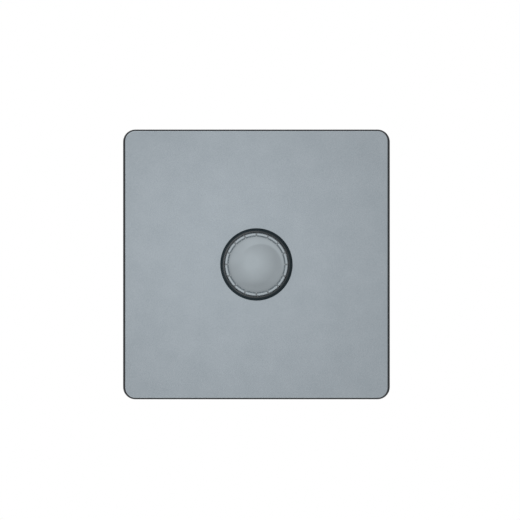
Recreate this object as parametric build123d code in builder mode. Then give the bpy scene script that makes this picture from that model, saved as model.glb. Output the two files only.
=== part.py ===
from build123d import *
from math import hypot
import os

# Rotary dimmer on a flat one-gang wall plate, pushed to switch and turned to dim.
# X runs to the right, Y into the wall and Z up. The origin is the plate's centre on the wall's face.
# Heights are measured from the wall's face towards the room, so what lies in the wall box has negative heights.

# Steel plate and the dark frame that carries it
plate_width = 87.0
plate_height = 88.0
plate_corner_radius = 4.0
plate_projection = 6.5
sheet_thickness = 1.5
sheet_edge_radius = 0.2
sheet_clearance = 0.05
lip_width = 0.7
lip_end_width = 0.45
lip_rise = 0.9
lip_edge_radius = 0.4
frame_wall = 1.8
frame_floor = 1.2
rib_width = 1.2
rib_depth = 1.0
rib_ring_gap = 0.8
pry_notch_width = 9.0
pry_notch_height = 1.4
screw_window_clearance = 1.2

# Clips that hold the frame on the grid
lug_offset = 22.0
lug_width = 9.0
lug_reach = 3.4
lug_rise = 1.2
lug_slope = 1.2
hook_width = 7.0
hook_thickness = 1.2
hook_clearance = 0.15
hook_tooth = 0.9
hook_end_height = 0.3

# Collar round the knob
collar_gap = 0.3
collar_wall = 0.75
collar_clearance = 0.1
collar_overlap = 0.45
collar_rise = 1.2
collar_slope = 0.3
collar_bevel_width = 0.57
collar_bevel_height = 0.8
collar_bevel_step = 0.155
collar_bore_chamfer = 0.1
collar_barb_reach = 0.45
collar_barb_height = 0.7
collar_slit_width = 1.6
collar_slit_count = 4

# Knob
knob_radius = 10.2
knob_projection = 13.0
dome_radius = 8.94
dome_rise = 0.8
rim_groove_width = 0.42
rim_groove_depth = 0.25
rim_taper_width = 0.17
rim_taper_height = 0.3
flute_count = 16
flute_width = 0.5
flute_length = 8.5
cap_wall = 1.6
cap_top = 1.4
skirt_depth = 1.3
core_clearance = 0.05
core_top = 1.6
core_wall = 1.2
core_rib_width = 1.0
core_rib_count = 6
hub_radius = 4.8
knob_stop_gap = 0.4
leaf_space = 0.8
leaf_thickness = 0.3
leaf_width = 3.2
leaf_length = 5.5
leaf_clearance = 0.05

# Spindle and its bush
push_travel = 1.8
spindle_radius = 3.0
spindle_clearance = 0.05
spindle_flat_depth = 1.5
spindle_end_gap = 0.3
spindle_end_chamfer = 0.5
tang_width = 4.2
ring_radius = 4.4
ring_thickness = 0.6
ring_groove_depth = 0.7
ring_clearance = 0.05
bush_radius = 4.95
bush_clearance = 0.05
bush_lead = 1.0
bush_chamfer = 0.5
bush_flange_thickness = 1.0
nut_across_flats = 14.0
nut_thickness = 2.5
washer_radius = 7.4
washer_thickness = 0.6
washer_tooth_count = 10
washer_notch_width = 1.6
washer_notch_depth = 1.2

# Mounting grid and its fixing screws
grid_width = 76.0
grid_height = 72.0
grid_corner_radius = 6.0
grid_thickness = 1.6
fixing_centres = 60.3
fixing_slot_width = 4.2
fixing_slot_length = 8.0
screw_head_radius = 3.3
screw_head_height = 1.9
screw_head_flat = 2.2
screw_head_edge = 1.0
screw_neck_radius = 1.5
screw_neck_reach = 0.3
screw_thread_radius = 1.75
screw_length = 25.0
screw_point = 0.6
drive_width = 0.9
drive_depth = 1.0
pip_radius = 1.2
pip_height = 1.2
pip_offset = 13.0
pip_clearance = 0.1

# Housing and the heat sink that closes it
housing_width = 46.0
housing_height = 48.0
housing_corner_radius = 4.0
housing_wall = 1.6
housing_chamfer = 1.0
boss_radius = 2.4
housing_screw_radius = 1.2
housing_screw_clearance = 0.1
housing_head_radius = 2.2
housing_head_height = 1.4
housing_head_clearance = 0.25
housing_head_recess = 2.0
barrier_width = 1.4
barrier_reach = 3.5
barrier_depth = 9.0
pocket_rib_width = 1.4
shelf_width = 1.2
sink_thickness = 1.6

# Potentiometer
running_gap = 0.1
pot_radius = 8.4
pot_wall = 0.8
track_thickness = 0.8
track_hole_radius = 5.0
track_clearance = 0.1
track_tab_width = 8.0
track_tab_reach = 3.0
rotor_gap = 0.5
rotor_radius = 6.4
rotor_thickness = 1.6
rotor_shoulder = 1.5
rotor_shoulder_radius = 5.2
rotor_journal_radius = 4.2
stop_gap = 0.3
stop_tab_width = 2.4
stop_tab_reach = 0.9
stop_lug_width = 4.2
wiper_thickness = 0.3
wiper_inner_radius = 4.9
wiper_width = 1.1
finger_run = 3.0
pot_pin_pitch = 2.5

# Push switch
switch_width = 14.0
switch_corner_radius = 1.0
switch_wall = 1.2
plunger_gap = 0.6
plunger_radius = 5.0
plunger_clearance = 0.2
plunger_thickness = 1.6
plunger_key_width = 1.6
plunger_key_reach = 0.8
spring_length = 4.4
spring_reach = 4.6
spring_thickness = 0.3
spring_width = 3.0
contact_radius = 4.6
contact_width = 1.2
contact_thickness = 0.4
contact_gap = 0.1

# Circuit board and what stands on it
board_thickness = 1.6
board_clearance = 0.25
solder_room = 2.5
lead_width = 0.6
lead_clearance = 0.1
lead_tail = 0.8
component_gap = 0.6
choke_radius = 6.6
choke_hole_radius = 3.8
choke_depth = 6.0
winding_thickness = 0.8
winding_angle = 310.0
winding_clearance = 0.05
capacitor_width = 10.0
capacitor_depth = 11.0
capacitor_corner_radius = 1.0
capacitor_lead_pitch = 7.5
resistor_radius = 1.2
resistor_length = 6.0
resistor_pitch = 3.5
resistor_count = 3
fuse_radius = 1.6
fuse_length = 9.0
lead_run = 1.2
triac_width = 10.0
triac_length = 9.0
triac_depth = 4.4
triac_tab_length = 6.4
triac_tab_thickness = 1.3
triac_hole_radius = 1.85
triac_lead_pitch = 2.54
triac_lead_drop = 2.5
pad_thickness = 0.3
triac_screw_radius = 1.45
triac_screw_clearance = 0.05
triac_head_radius = 2.7
triac_head_height = 1.8

# Wire terminals
terminal_count = 3
terminal_side_clearance = 0.85
terminal_width = 7.5
terminal_height = 9.0
terminal_depth = 8.5
terminal_corner_radius = 0.8
terminal_gap = 0.3
wire_bore_radius = 2.1
wire_bore_wall = 1.2
wire_stop = 1.6
wire_entry_clearance = 0.5
clamp_screw_radius = 1.75
clamp_screw_clearance = 0.05
clamp_screw_lift = 0.15
clamp_screw_recess = 0.3
clamp_access_clearance = 0.6
clamp_slot_width = 0.7
clamp_slot_depth = 0.9
tag_width = 1.6
tag_thickness = 0.6
tag_reach = 3.0
earth_width = 8.0
earth_height = 7.0
earth_depth = 8.0
earth_gap = 2.5
earth_rivet_radius = 1.9
earth_rivet_clearance = 0.05
earth_screw_length = 4.5

# Heights in front of the wall
steel_back = plate_projection - sheet_thickness
lip_top = steel_back + lip_rise
floor_back = steel_back - frame_floor
collar_top = plate_projection + collar_rise
barb_front = floor_back - collar_clearance
barrel_end = barb_front - collar_barb_height
washer_front = grid_thickness + washer_thickness
nut_front = washer_front + nut_thickness
bush_front = nut_front + bush_lead
screw_head_top = grid_thickness + screw_head_height
screw_tip = grid_thickness - screw_length
dome_top = plate_projection + knob_projection
rim_height = dome_top - dome_rise
cap_ceiling = rim_height - cap_top
skirt_end = plate_projection - skirt_depth
core_end = nut_front + push_travel + knob_stop_gap
hub_end = bush_front + push_travel + knob_stop_gap
hub_bore_end = cap_ceiling - core_top
spindle_front = hub_bore_end - spindle_end_gap

# Heights inside the wall box
sink_back = -sink_thickness
flange_back = sink_back - bush_flange_thickness
track_back = flange_back - track_thickness
ring_front = flange_back - running_gap
ring_back = ring_front - ring_thickness
rotor_front = ring_back - push_travel - rotor_gap
rotor_back = rotor_front - rotor_thickness
shoulder_back = rotor_back - rotor_shoulder
pot_floor = shoulder_back - running_gap
pot_back = pot_floor - pot_wall
tang_front = rotor_front + push_travel + rotor_gap / 2
plunger_front = pot_back - plunger_gap
spindle_rear = plunger_front + running_gap
plunger_back = plunger_front - plunger_thickness
contact_back = plunger_back - contact_thickness
switch_floor = plunger_back - spring_length
switch_back = switch_floor - switch_wall
board_front = switch_back
board_back = board_front - board_thickness
lead_end = board_back - lead_tail
housing_floor = board_back - solder_room
housing_back = housing_floor - housing_wall
pad_back = sink_back - pad_thickness
triac_tab_back = pad_back - triac_tab_thickness
triac_back = pad_back - triac_depth

# Outlines and radii that follow from the sizes above
sheet_width = plate_width - 2 * (lip_width + sheet_clearance)
sheet_height = plate_height - 2 * (lip_end_width + sheet_clearance)
sheet_corner_radius = plate_corner_radius - lip_width - sheet_clearance
tray_width = plate_width - 2 * lip_width
tray_height = plate_height - 2 * lip_end_width
tray_corner_radius = plate_corner_radius - lip_width
recess_width = plate_width - 2 * frame_wall
recess_height = plate_height - 2 * frame_wall
recess_corner_radius = plate_corner_radius - frame_wall
collar_bore_radius = knob_radius + collar_gap
barrel_radius = collar_bore_radius + collar_wall
plate_hole_radius = barrel_radius + collar_clearance
flange_radius = plate_hole_radius + collar_overlap
barb_radius = barrel_radius + collar_barb_reach
rib_ring_inner = barb_radius + rib_ring_gap
rib_ring_outer = rib_ring_inner + rib_width
rib_reach = hypot(recess_width, recess_height) / 2
rib_length = rib_reach - rib_ring_inner - rib_width / 2
rib_middle = rib_reach - rib_length / 2
fixing_offset = fixing_centres / 2
lug_tip = grid_height / 2 + lug_reach
hook_inner = lug_tip + hook_clearance
hook_outer = hook_inner + hook_thickness
hook_tooth_tip = hook_inner - hook_tooth - hook_clearance
hook_tooth_height = lug_rise - hook_clearance
bush_hole_radius = bush_radius + bush_clearance
spindle_bore_radius = spindle_radius + spindle_clearance
spindle_flat = spindle_radius - spindle_flat_depth
hub_flat = spindle_flat + leaf_space
cap_inner_radius = knob_radius - cap_wall
core_radius = cap_inner_radius - core_clearance
core_inner_radius = core_radius - core_wall
rim_inner_radius = dome_radius + rim_groove_width
flute_depth = knob_radius - dome_radius - rim_groove_width / 2
pot_inner_radius = pot_radius - pot_wall
pot_pin_offset = pot_radius + track_tab_reach / 2
inner_half_width = housing_width / 2 - housing_wall
inner_half_height = housing_height / 2 - housing_wall
boss_x = inner_half_width - boss_radius
boss_z = inner_half_height - boss_radius
terminal_span = 2 * (boss_x - boss_radius - terminal_side_clearance) - terminal_width
terminal_pitch = terminal_span / (terminal_count - 1)
terminal_bottom = terminal_gap - inner_half_height
terminal_top = terminal_bottom + terminal_height
terminal_middle = (terminal_bottom + terminal_top) / 2
terminal_front = housing_floor + terminal_depth
wire_bore_height = terminal_front - wire_bore_wall - wire_bore_radius
tag_end = terminal_top + tag_reach
earth_middle = housing_height / 2 + earth_gap + earth_height / 2
earth_bore_height = -wire_bore_wall - wire_bore_radius
board_bottom = terminal_top + board_clearance
board_top = inner_half_height - board_clearance
board_half_width = inner_half_width - board_clearance
board_middle = (board_bottom + board_top) / 2
wound_radius = choke_radius + winding_thickness
choke_x = component_gap + wound_radius - inner_half_width
choke_z = inner_half_height - component_gap - wound_radius
choke_back = board_front + winding_thickness
wound_front = board_front + choke_depth + 2 * winding_thickness
resistor_x = -(switch_width / 2 + board_half_width) / 2
resistor_z = tag_end + component_gap + resistor_radius
fuse_z = board_top - component_gap - fuse_radius
triac_x = (pot_radius + inner_half_width) / 2
triac_top = boss_z - boss_radius - component_gap
triac_hole_z = triac_top - triac_tab_length / 2
triac_bottom = triac_top - triac_tab_length - triac_length
triac_lead_z = triac_bottom - triac_lead_drop
capacitor_bottom = tag_end + component_gap
capacitor_top = triac_lead_z - lead_width / 2 - component_gap
capacitor_length = capacitor_top - capacitor_bottom
capacitor_x = inner_half_width - component_gap - capacitor_width / 2
capacitor_z = (capacitor_bottom + capacitor_top) / 2

# Places that repeat
fixing_places = [(-fixing_offset, 0), (fixing_offset, 0)]
boss_places = [(-boss_x, -boss_z), (boss_x, boss_z)]
terminal_places = [(i - (terminal_count - 1) / 2) * terminal_pitch for i in range(terminal_count)]
barrier_places = [(i - terminal_count / 2) * terminal_pitch for i in range(terminal_count + 1)]
resistor_places = [resistor_z + i * resistor_pitch for i in range(resistor_count)]
pot_pin_places = [(i * pot_pin_pitch, pot_pin_offset) for i in (-1, 0, 1)]
contact_middle = contact_radius - contact_width / 2
contact_places = [(-contact_middle, 0), (contact_middle, 0)]
triac_lead_places = [(triac_x + i * triac_lead_pitch, triac_lead_z) for i in (-1, 0, 1)]
capacitor_lead_places = [(capacitor_x + i * capacitor_lead_pitch / 2, capacitor_z) for i in (-1, 1)]
choke_lead_places = [(choke_x + i * choke_radius, choke_z - choke_radius) for i in (-1, 1)]


def facing(height):
    """Plane parallel to the wall: sketch x is X, sketch y is Z, and extrusions grow towards the room."""
    return Plane.XZ.offset(height)


def turning(x=0.0, z=0.0):
    """Plane through an axis square to the wall: sketch x is the radius and sketch y the height."""
    return Plane(origin=(x, 0, z), x_dir=(1, 0, 0), z_dir=(0, 0, -1))


def turning_axis(x=0.0, z=0.0):
    """Axis of a turned piece, square to the wall."""
    return Axis((x, 0, z), (0, 1, 0))


def upright(x=0.0):
    """Plane square to X: sketch x is Z and sketch y the height."""
    return Plane(origin=(x, 0, 0), x_dir=(0, 0, 1), z_dir=(1, 0, 0))


def add_straight_leads(places, front):
    """Add square leads that run from a height back through the circuit board."""
    with BuildSketch(facing(lead_end)) as sections:
        with Locations(*places):
            Rectangle(lead_width, lead_width)
    extrude(sections.sketch, amount=front - lead_end)


def axial_lead_places(x, z, length):
    """Where the two bent leads of a lying component enter the circuit board."""
    offset = length / 2 + lead_run + lead_width / 2
    return [(x - offset, z), (x + offset, z)]


def add_axial_component(x, z, length, radius):
    """Add a round component that lies along X on the circuit board, with its two bent leads."""
    middle = board_front + radius + lead_clearance
    with BuildSketch(Plane.YZ.offset(x - length / 2)) as body:
        with Locations((-middle, z)):
            Circle(radius)
    extrude(body.sketch, amount=length)
    near = length / 2
    far = near + lead_run + lead_width
    with BuildSketch(turning(x, z)) as leads:
        with BuildLine():
            Polyline(
                (near, middle + lead_width / 2),
                (far, middle + lead_width / 2),
                (far, lead_end),
                (far - lead_width, lead_end),
                (far - lead_width, middle - lead_width / 2),
                (near, middle - lead_width / 2),
                close=True,
            )
        make_face()
        mirror(about=Plane.YZ)
    extrude(leads.sketch, amount=lead_width / 2, both=True)


# Steel plate: a flat sheet with an eased front edge and one round hole
with BuildPart() as front_plate:
    with BuildSketch(facing(steel_back)):
        RectangleRounded(sheet_width, sheet_height, sheet_corner_radius)
        Circle(plate_hole_radius, mode=Mode.SUBTRACT)
    extrude(amount=sheet_thickness)
    sheet_face = front_plate.faces().sort_by(Axis.Y)[0]
    fillet(sheet_face.outer_wire().edges(), sheet_edge_radius)

# Backing frame: a moulded tray whose lip stands round the steel, ribbed behind, with four snap hooks
with BuildPart() as backing_frame:
    with BuildSketch(facing(0)):
        RectangleRounded(plate_width, plate_height, plate_corner_radius)
    extrude(amount=lip_top)
    fillet(backing_frame.faces().sort_by(Axis.Y)[0].outer_wire().edges(), lip_edge_radius)
    with BuildSketch(facing(steel_back)):
        RectangleRounded(tray_width, tray_height, tray_corner_radius)
    extrude(amount=lip_rise, mode=Mode.SUBTRACT)
    with BuildSketch(facing(0)):
        RectangleRounded(recess_width, recess_height, recess_corner_radius)
    extrude(amount=floor_back, mode=Mode.SUBTRACT)
    with BuildSketch(facing(floor_back - rib_depth)):
        Circle(rib_ring_outer)
        with PolarLocations(rib_middle, 4, start_angle=45):
            Rectangle(rib_length, rib_width)
        Circle(rib_ring_inner, mode=Mode.SUBTRACT)
    extrude(amount=rib_depth)
    with BuildSketch(facing(floor_back)):
        Circle(plate_hole_radius)
        with Locations(*fixing_places):
            Circle(screw_head_radius + screw_window_clearance)
    extrude(amount=frame_floor, mode=Mode.SUBTRACT)
    for hook_x in (-lug_offset, lug_offset):
        with BuildSketch(upright(hook_x)):
            with BuildLine():
                Polyline(
                    (hook_inner, floor_back),
                    (hook_outer, floor_back),
                    (hook_outer, hook_end_height),
                    (hook_inner, hook_end_height),
                    (hook_tooth_tip, hook_tooth_height - hook_clearance),
                    (hook_tooth_tip, hook_tooth_height),
                    (hook_inner, hook_tooth_height),
                    close=True,
                )
            make_face()
            mirror(about=Plane.YZ)
        extrude(amount=hook_width / 2, both=True)
    with BuildSketch(Plane.XY.offset(-plate_height / 2)):
        with Locations((0, -pry_notch_height / 2)):
            Rectangle(pry_notch_width, pry_notch_height)
    extrude(amount=frame_wall, mode=Mode.SUBTRACT)

# Collar: a ring with a sloped and bevelled flange on the steel, and a slit barrel with barbs behind the frame's floor
with BuildPart() as collar:
    with BuildSketch(turning()):
        with BuildLine():
            Polyline(
                (collar_bore_radius + collar_bore_chamfer, collar_top),
                (collar_bore_radius, collar_top - collar_bore_chamfer),
                (collar_bore_radius, barrel_end),
                (barrel_radius, barrel_end),
                (barb_radius, barb_front),
                (barrel_radius, barb_front),
                (barrel_radius, plate_projection),
                (flange_radius, plate_projection),
                (flange_radius, collar_top - collar_slope - collar_bevel_height),
                (flange_radius - collar_bevel_step, collar_top - collar_slope - 2 * collar_bevel_step),
                (flange_radius - collar_bevel_width, collar_top - collar_slope),
                close=True,
            )
        make_face()
    revolve(axis=turning_axis())
    with BuildSketch(facing(barrel_end)):
        with PolarLocations(barrel_radius, collar_slit_count):
            Rectangle(2 * (barb_radius - collar_bore_radius), collar_slit_width)
    extrude(amount=floor_back - barrel_end, mode=Mode.SUBTRACT)

# Mounting grid: a pressed steel strap with two fixing slots and four lugs joggled forward for the hooks
with BuildPart() as mounting_grid:
    with BuildSketch(facing(0)):
        RectangleRounded(grid_width, grid_height, grid_corner_radius)
        Circle(bush_hole_radius, mode=Mode.SUBTRACT)
        with Locations(fixing_places[0]):
            SlotOverall(fixing_slot_length, fixing_slot_width, mode=Mode.SUBTRACT)
        with Locations(fixing_places[1]):
            SlotOverall(fixing_slot_length, fixing_slot_width, rotation=90, mode=Mode.SUBTRACT)
        with Locations((0, -pip_offset)):
            Circle(pip_radius + pip_clearance, mode=Mode.SUBTRACT)
        with Locations((0, earth_middle)):
            Circle(earth_rivet_radius + earth_rivet_clearance, mode=Mode.SUBTRACT)
    extrude(amount=grid_thickness)
    for lug_x in (-lug_offset, lug_offset):
        with BuildSketch(upright(lug_x)):
            with BuildLine():
                Polyline(
                    (grid_height / 2, 0),
                    (grid_height / 2 + lug_slope, lug_rise),
                    (lug_tip, lug_rise),
                    (lug_tip, lug_rise + grid_thickness),
                    (grid_height / 2 + lug_slope, lug_rise + grid_thickness),
                    (grid_height / 2, grid_thickness),
                    close=True,
                )
            make_face()
            mirror(about=Plane.YZ)
        extrude(amount=lug_width / 2, both=True)

# Fixing screws: pan heads on the grid, a plain neck through its slots and threads into the wall box
with BuildPart() as fixing_screws:
    for screw_x, screw_z in fixing_places:
        with BuildSketch(turning(screw_x, screw_z)):
            with BuildLine():
                Polyline(
                    (0, screw_head_top),
                    (screw_head_flat, screw_head_top),
                    (screw_head_radius, grid_thickness + screw_head_edge),
                    (screw_head_radius, grid_thickness),
                    (screw_neck_radius, grid_thickness),
                    (screw_neck_radius, -screw_neck_reach),
                    (screw_thread_radius, -screw_neck_reach),
                    (screw_thread_radius, screw_tip + screw_point),
                    (screw_thread_radius - screw_point, screw_tip),
                    (0, screw_tip),
                    close=True,
                )
            make_face()
        revolve(axis=turning_axis(screw_x, screw_z))
    with BuildSketch(facing(screw_head_top - drive_depth)):
        with Locations(*fixing_places):
            Rectangle(drive_width, 2 * screw_head_radius)
    extrude(amount=drive_depth, mode=Mode.SUBTRACT)

# Bush: a threaded barrel through the heat sink and the grid, with the flange that closes the potentiometer
with BuildPart() as spindle_bush:
    with BuildSketch(turning()):
        with BuildLine():
            Polyline(
                (spindle_bore_radius, flange_back),
                (pot_radius, flange_back),
                (pot_radius, sink_back),
                (bush_radius, sink_back),
                (bush_radius, bush_front - bush_chamfer),
                (bush_radius - bush_chamfer, bush_front),
                (spindle_bore_radius, bush_front),
                close=True,
            )
        make_face()
    revolve(axis=turning_axis())

# Lock washer: a thin ring with teeth round its edge
with BuildPart() as lock_washer:
    with BuildSketch(facing(grid_thickness)):
        Circle(washer_radius)
        Circle(bush_hole_radius, mode=Mode.SUBTRACT)
        with PolarLocations(washer_radius, washer_tooth_count):
            Rectangle(2 * washer_notch_depth, washer_notch_width, mode=Mode.SUBTRACT)
    extrude(amount=washer_thickness)

# Nut that clamps the bush to the grid
with BuildPart() as bush_nut:
    with BuildSketch(facing(washer_front)):
        RegularPolygon(nut_across_flats / 2, 6, major_radius=False)
        Circle(bush_hole_radius, mode=Mode.SUBTRACT)
    extrude(amount=nut_thickness)

# Heat sink: a flat aluminium plate that closes the housing, with a half-sheared pip that locates in the grid
with BuildPart() as heat_sink:
    with BuildSketch(facing(sink_back)):
        RectangleRounded(housing_width, housing_height, housing_corner_radius)
        Circle(bush_hole_radius, mode=Mode.SUBTRACT)
        with Locations(*boss_places):
            Circle(housing_screw_radius + housing_screw_clearance, mode=Mode.SUBTRACT)
        with Locations((triac_x, triac_hole_z)):
            Circle(triac_screw_radius + triac_screw_clearance, mode=Mode.SUBTRACT)
    extrude(amount=sink_thickness)
    with BuildSketch(facing(0)):
        with Locations((0, -pip_offset)):
            Circle(pip_radius)
    extrude(amount=pip_height)

# Housing: a moulded box with screw bosses, wire entries below, barriers between them and access holes behind
with BuildPart() as housing:
    with BuildSketch(facing(housing_back)):
        RectangleRounded(housing_width, housing_height, housing_corner_radius)
    extrude(amount=sink_back - housing_back)
    chamfer(housing.faces().sort_by(Axis.Y)[-1].outer_wire().edges(), housing_chamfer)
    with BuildSketch(facing(housing_floor)):
        RectangleRounded(
            2 * inner_half_width, 2 * inner_half_height, housing_corner_radius - housing_wall
        )
    extrude(amount=sink_back - housing_floor, mode=Mode.SUBTRACT)
    with BuildSketch(facing(housing_floor)):
        with Locations(*boss_places):
            Circle(boss_radius)
    extrude(amount=sink_back - housing_floor)
    with BuildSketch(facing(housing_floor)):
        with Locations((-inner_half_width + shelf_width / 2, board_middle)):
            Rectangle(shelf_width, (board_top - board_bottom) / 2)
        with Locations((inner_half_width - shelf_width / 2, board_middle)):
            Rectangle(shelf_width, (board_top - board_bottom) / 2)
    extrude(amount=board_back - housing_floor)
    with BuildSketch(facing(housing_floor)):
        for rib_x in barrier_places[1:-1]:
            with Locations((rib_x, (terminal_top - inner_half_height) / 2)):
                Rectangle(pocket_rib_width, terminal_top + inner_half_height)
    extrude(amount=terminal_depth)
    with BuildSketch(facing(wire_bore_height - barrier_depth / 2)):
        for barrier_x in barrier_places:
            with Locations((barrier_x, -(housing_height + barrier_reach) / 2)):
                Rectangle(barrier_width, barrier_reach)
    extrude(amount=barrier_depth)
    with BuildSketch(facing(housing_back)):
        with Locations(*boss_places):
            Circle(housing_screw_radius + housing_screw_clearance)
    extrude(amount=sink_back - housing_back, mode=Mode.SUBTRACT)
    with BuildSketch(facing(housing_back)):
        with Locations(*boss_places):
            Circle(housing_head_radius + housing_head_clearance)
    extrude(amount=housing_head_recess, mode=Mode.SUBTRACT)
    with BuildSketch(facing(housing_back)):
        for clamp_x in terminal_places:
            with Locations((clamp_x, terminal_middle)):
                Circle(clamp_screw_radius + clamp_access_clearance)
    extrude(amount=housing_wall, mode=Mode.SUBTRACT)
    with BuildSketch(Plane.XY.offset(-housing_height / 2)):
        for entry_x in terminal_places:
            with Locations((entry_x, -wire_bore_height)):
                Circle(wire_bore_radius + wire_entry_clearance)
    extrude(amount=housing_wall, mode=Mode.SUBTRACT)

# Housing screws, driven from the back through the bosses into the heat sink
with BuildPart() as housing_screws:
    with BuildSketch(facing(housing_back + housing_head_recess - housing_head_height)):
        with Locations(*boss_places):
            Circle(housing_head_radius)
    extrude(amount=housing_head_height)
    with BuildSketch(facing(housing_back + housing_head_recess)):
        with Locations(*boss_places):
            Circle(housing_screw_radius)
    extrude(amount=-housing_back - housing_head_recess)
    with BuildSketch(facing(housing_back + housing_head_recess - housing_head_height)):
        with Locations(*boss_places):
            Rectangle(clamp_slot_width, 2 * housing_head_radius)
    extrude(amount=clamp_slot_depth, mode=Mode.SUBTRACT)

# Knob cap: a turned metal cup with a domed top, a groove inside its rim and fine flutes round its side
with BuildPart() as knob_cap:
    with BuildSketch(turning()):
        with BuildLine():
            TangentArc((0, dome_top), (dome_radius, rim_height), tangent=(1, 0))
            Polyline(
                (dome_radius, rim_height),
                (dome_radius + rim_groove_width / 2, rim_height - rim_groove_depth),
                (rim_inner_radius, rim_height),
                (knob_radius - rim_taper_width, rim_height),
                (knob_radius, rim_height - rim_taper_height),
                (knob_radius, skirt_end),
                (cap_inner_radius, skirt_end),
                (cap_inner_radius, cap_ceiling),
                (0, cap_ceiling),
                (0, dome_top),
            )
        make_face()
    revolve(axis=turning_axis())
    with BuildSketch(facing(rim_height - flute_length)):
        with PolarLocations(knob_radius, flute_count):
            Rectangle(2 * flute_depth, flute_width)
    extrude(amount=flute_length, mode=Mode.SUBTRACT)

# Knob core: the moulded inside of the knob, a ribbed cup whose hub grips the spindle
with BuildPart() as knob_core:
    with BuildSketch(facing(hub_bore_end)):
        Circle(core_radius)
    extrude(amount=core_top)
    with BuildSketch(facing(core_end)):
        Circle(core_radius)
        Circle(core_inner_radius, mode=Mode.SUBTRACT)
    extrude(amount=hub_bore_end - core_end)
    with BuildSketch(facing(hub_end)):
        Circle(hub_radius)
        with PolarLocations((hub_radius + core_inner_radius) / 2, core_rib_count):
            Rectangle(core_inner_radius - hub_radius + core_wall, core_rib_width)
    extrude(amount=hub_bore_end - hub_end)
    with BuildSketch(facing(hub_end)):
        Circle(spindle_bore_radius)
        with Locations((hub_flat, 0)):
            Rectangle(hub_radius, hub_radius * 2, align=(Align.MIN, Align.CENTER), mode=Mode.SUBTRACT)
    extrude(amount=hub_bore_end - hub_end, mode=Mode.SUBTRACT)

# Knob spring: a bowed leaf between the hub's flat and the spindle's
with BuildPart() as knob_spring:
    leaf_crown = spindle_flat + leaf_clearance
    leaf_foot = hub_flat - leaf_clearance - leaf_thickness
    leaf_middle = (hub_end + spindle_front) / 2
    leaf_low = leaf_middle - leaf_length / 2
    leaf_high = leaf_middle + leaf_length / 2
    with BuildSketch(turning()):
        with BuildLine():
            ThreePointArc((leaf_foot, leaf_low), (leaf_crown, leaf_middle), (leaf_foot, leaf_high))
            Line((leaf_foot, leaf_high), (leaf_foot + leaf_thickness, leaf_high))
            ThreePointArc(
                (leaf_foot + leaf_thickness, leaf_high),
                (leaf_crown + leaf_thickness, leaf_middle),
                (leaf_foot + leaf_thickness, leaf_low),
            )
            Line((leaf_foot + leaf_thickness, leaf_low), (leaf_foot, leaf_low))
        make_face()
    extrude(amount=leaf_width / 2, both=True)

# Spindle: a round shaft with a flat for the knob, a groove for its ring and a tang that slides in the rotor
with BuildPart() as spindle:
    with BuildSketch(facing(spindle_rear)):
        Circle(spindle_radius)
    extrude(amount=spindle_front - spindle_rear)
    chamfer(spindle.faces().sort_by(Axis.Y)[0].edges(), spindle_end_chamfer)
    with BuildSketch(facing(hub_end)):
        with Locations((spindle_flat, 0)):
            Rectangle(
                spindle_radius, 2 * spindle_radius, align=(Align.MIN, Align.CENTER)
            )
    extrude(amount=spindle_front - hub_end, mode=Mode.SUBTRACT)
    with BuildSketch(facing(ring_back - ring_clearance)):
        Circle(ring_radius)
        Circle(spindle_radius - ring_groove_depth, mode=Mode.SUBTRACT)
    extrude(amount=ring_thickness + 2 * ring_clearance, mode=Mode.SUBTRACT)
    with BuildSketch(facing(spindle_rear)):
        Rectangle(2 * spindle_radius, 2 * spindle_radius)
        Rectangle(2 * spindle_radius, tang_width, mode=Mode.SUBTRACT)
    extrude(amount=tang_front - spindle_rear, mode=Mode.SUBTRACT)

# Retaining ring: an open ring in the spindle's groove, which stops it behind the bush
with BuildPart() as retaining_ring:
    ring_bore_radius = spindle_radius - ring_groove_depth + ring_clearance
    with BuildSketch(facing(ring_back)):
        Circle(ring_radius)
        Circle(ring_bore_radius, mode=Mode.SUBTRACT)
        with Locations((0, -ring_radius)):
            Rectangle(ring_bore_radius, 2 * ring_radius, mode=Mode.SUBTRACT)
    extrude(amount=ring_thickness)

# Potentiometer case: a round cup with a bearing hole, a slot for the track's tab and the lug that stops the rotor
with BuildPart() as pot_case:
    with BuildSketch(facing(pot_back)):
        Circle(pot_radius)
    extrude(amount=flange_back - pot_back)
    with BuildSketch(facing(pot_floor)):
        Circle(pot_inner_radius)
    extrude(amount=flange_back - pot_floor, mode=Mode.SUBTRACT)
    with BuildSketch(facing(pot_floor)):
        with Locations((0, -rotor_radius - stop_gap)):
            Rectangle(stop_lug_width, pot_inner_radius - rotor_radius, align=(Align.CENTER, Align.MAX))
    extrude(amount=rotor_front - pot_floor)
    with BuildSketch(facing(pot_back)):
        Circle(rotor_journal_radius + running_gap)
    extrude(amount=pot_wall, mode=Mode.SUBTRACT)
    with BuildSketch(facing(track_back - track_clearance)):
        with Locations((0, pot_radius)):
            Rectangle(track_tab_width + 2 * track_clearance, pot_radius)
    extrude(amount=track_thickness + track_clearance, mode=Mode.SUBTRACT)

# Track disc: the flat ring that carries the resistive track, with a tab for its pins
with BuildPart() as track_disc:
    with BuildSketch(facing(track_back)):
        Circle(pot_inner_radius - track_clearance)
        Rectangle(track_tab_width, pot_radius + track_tab_reach, align=(Align.CENTER, Align.MIN))
        Circle(track_hole_radius, mode=Mode.SUBTRACT)
        with Locations(*pot_pin_places):
            Rectangle(lead_width + lead_clearance, lead_width + lead_clearance, mode=Mode.SUBTRACT)
    extrude(amount=track_thickness)

# Pins from the track to the circuit board
with BuildPart() as pot_pins:
    add_straight_leads(pot_pin_places, flange_back)

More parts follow.
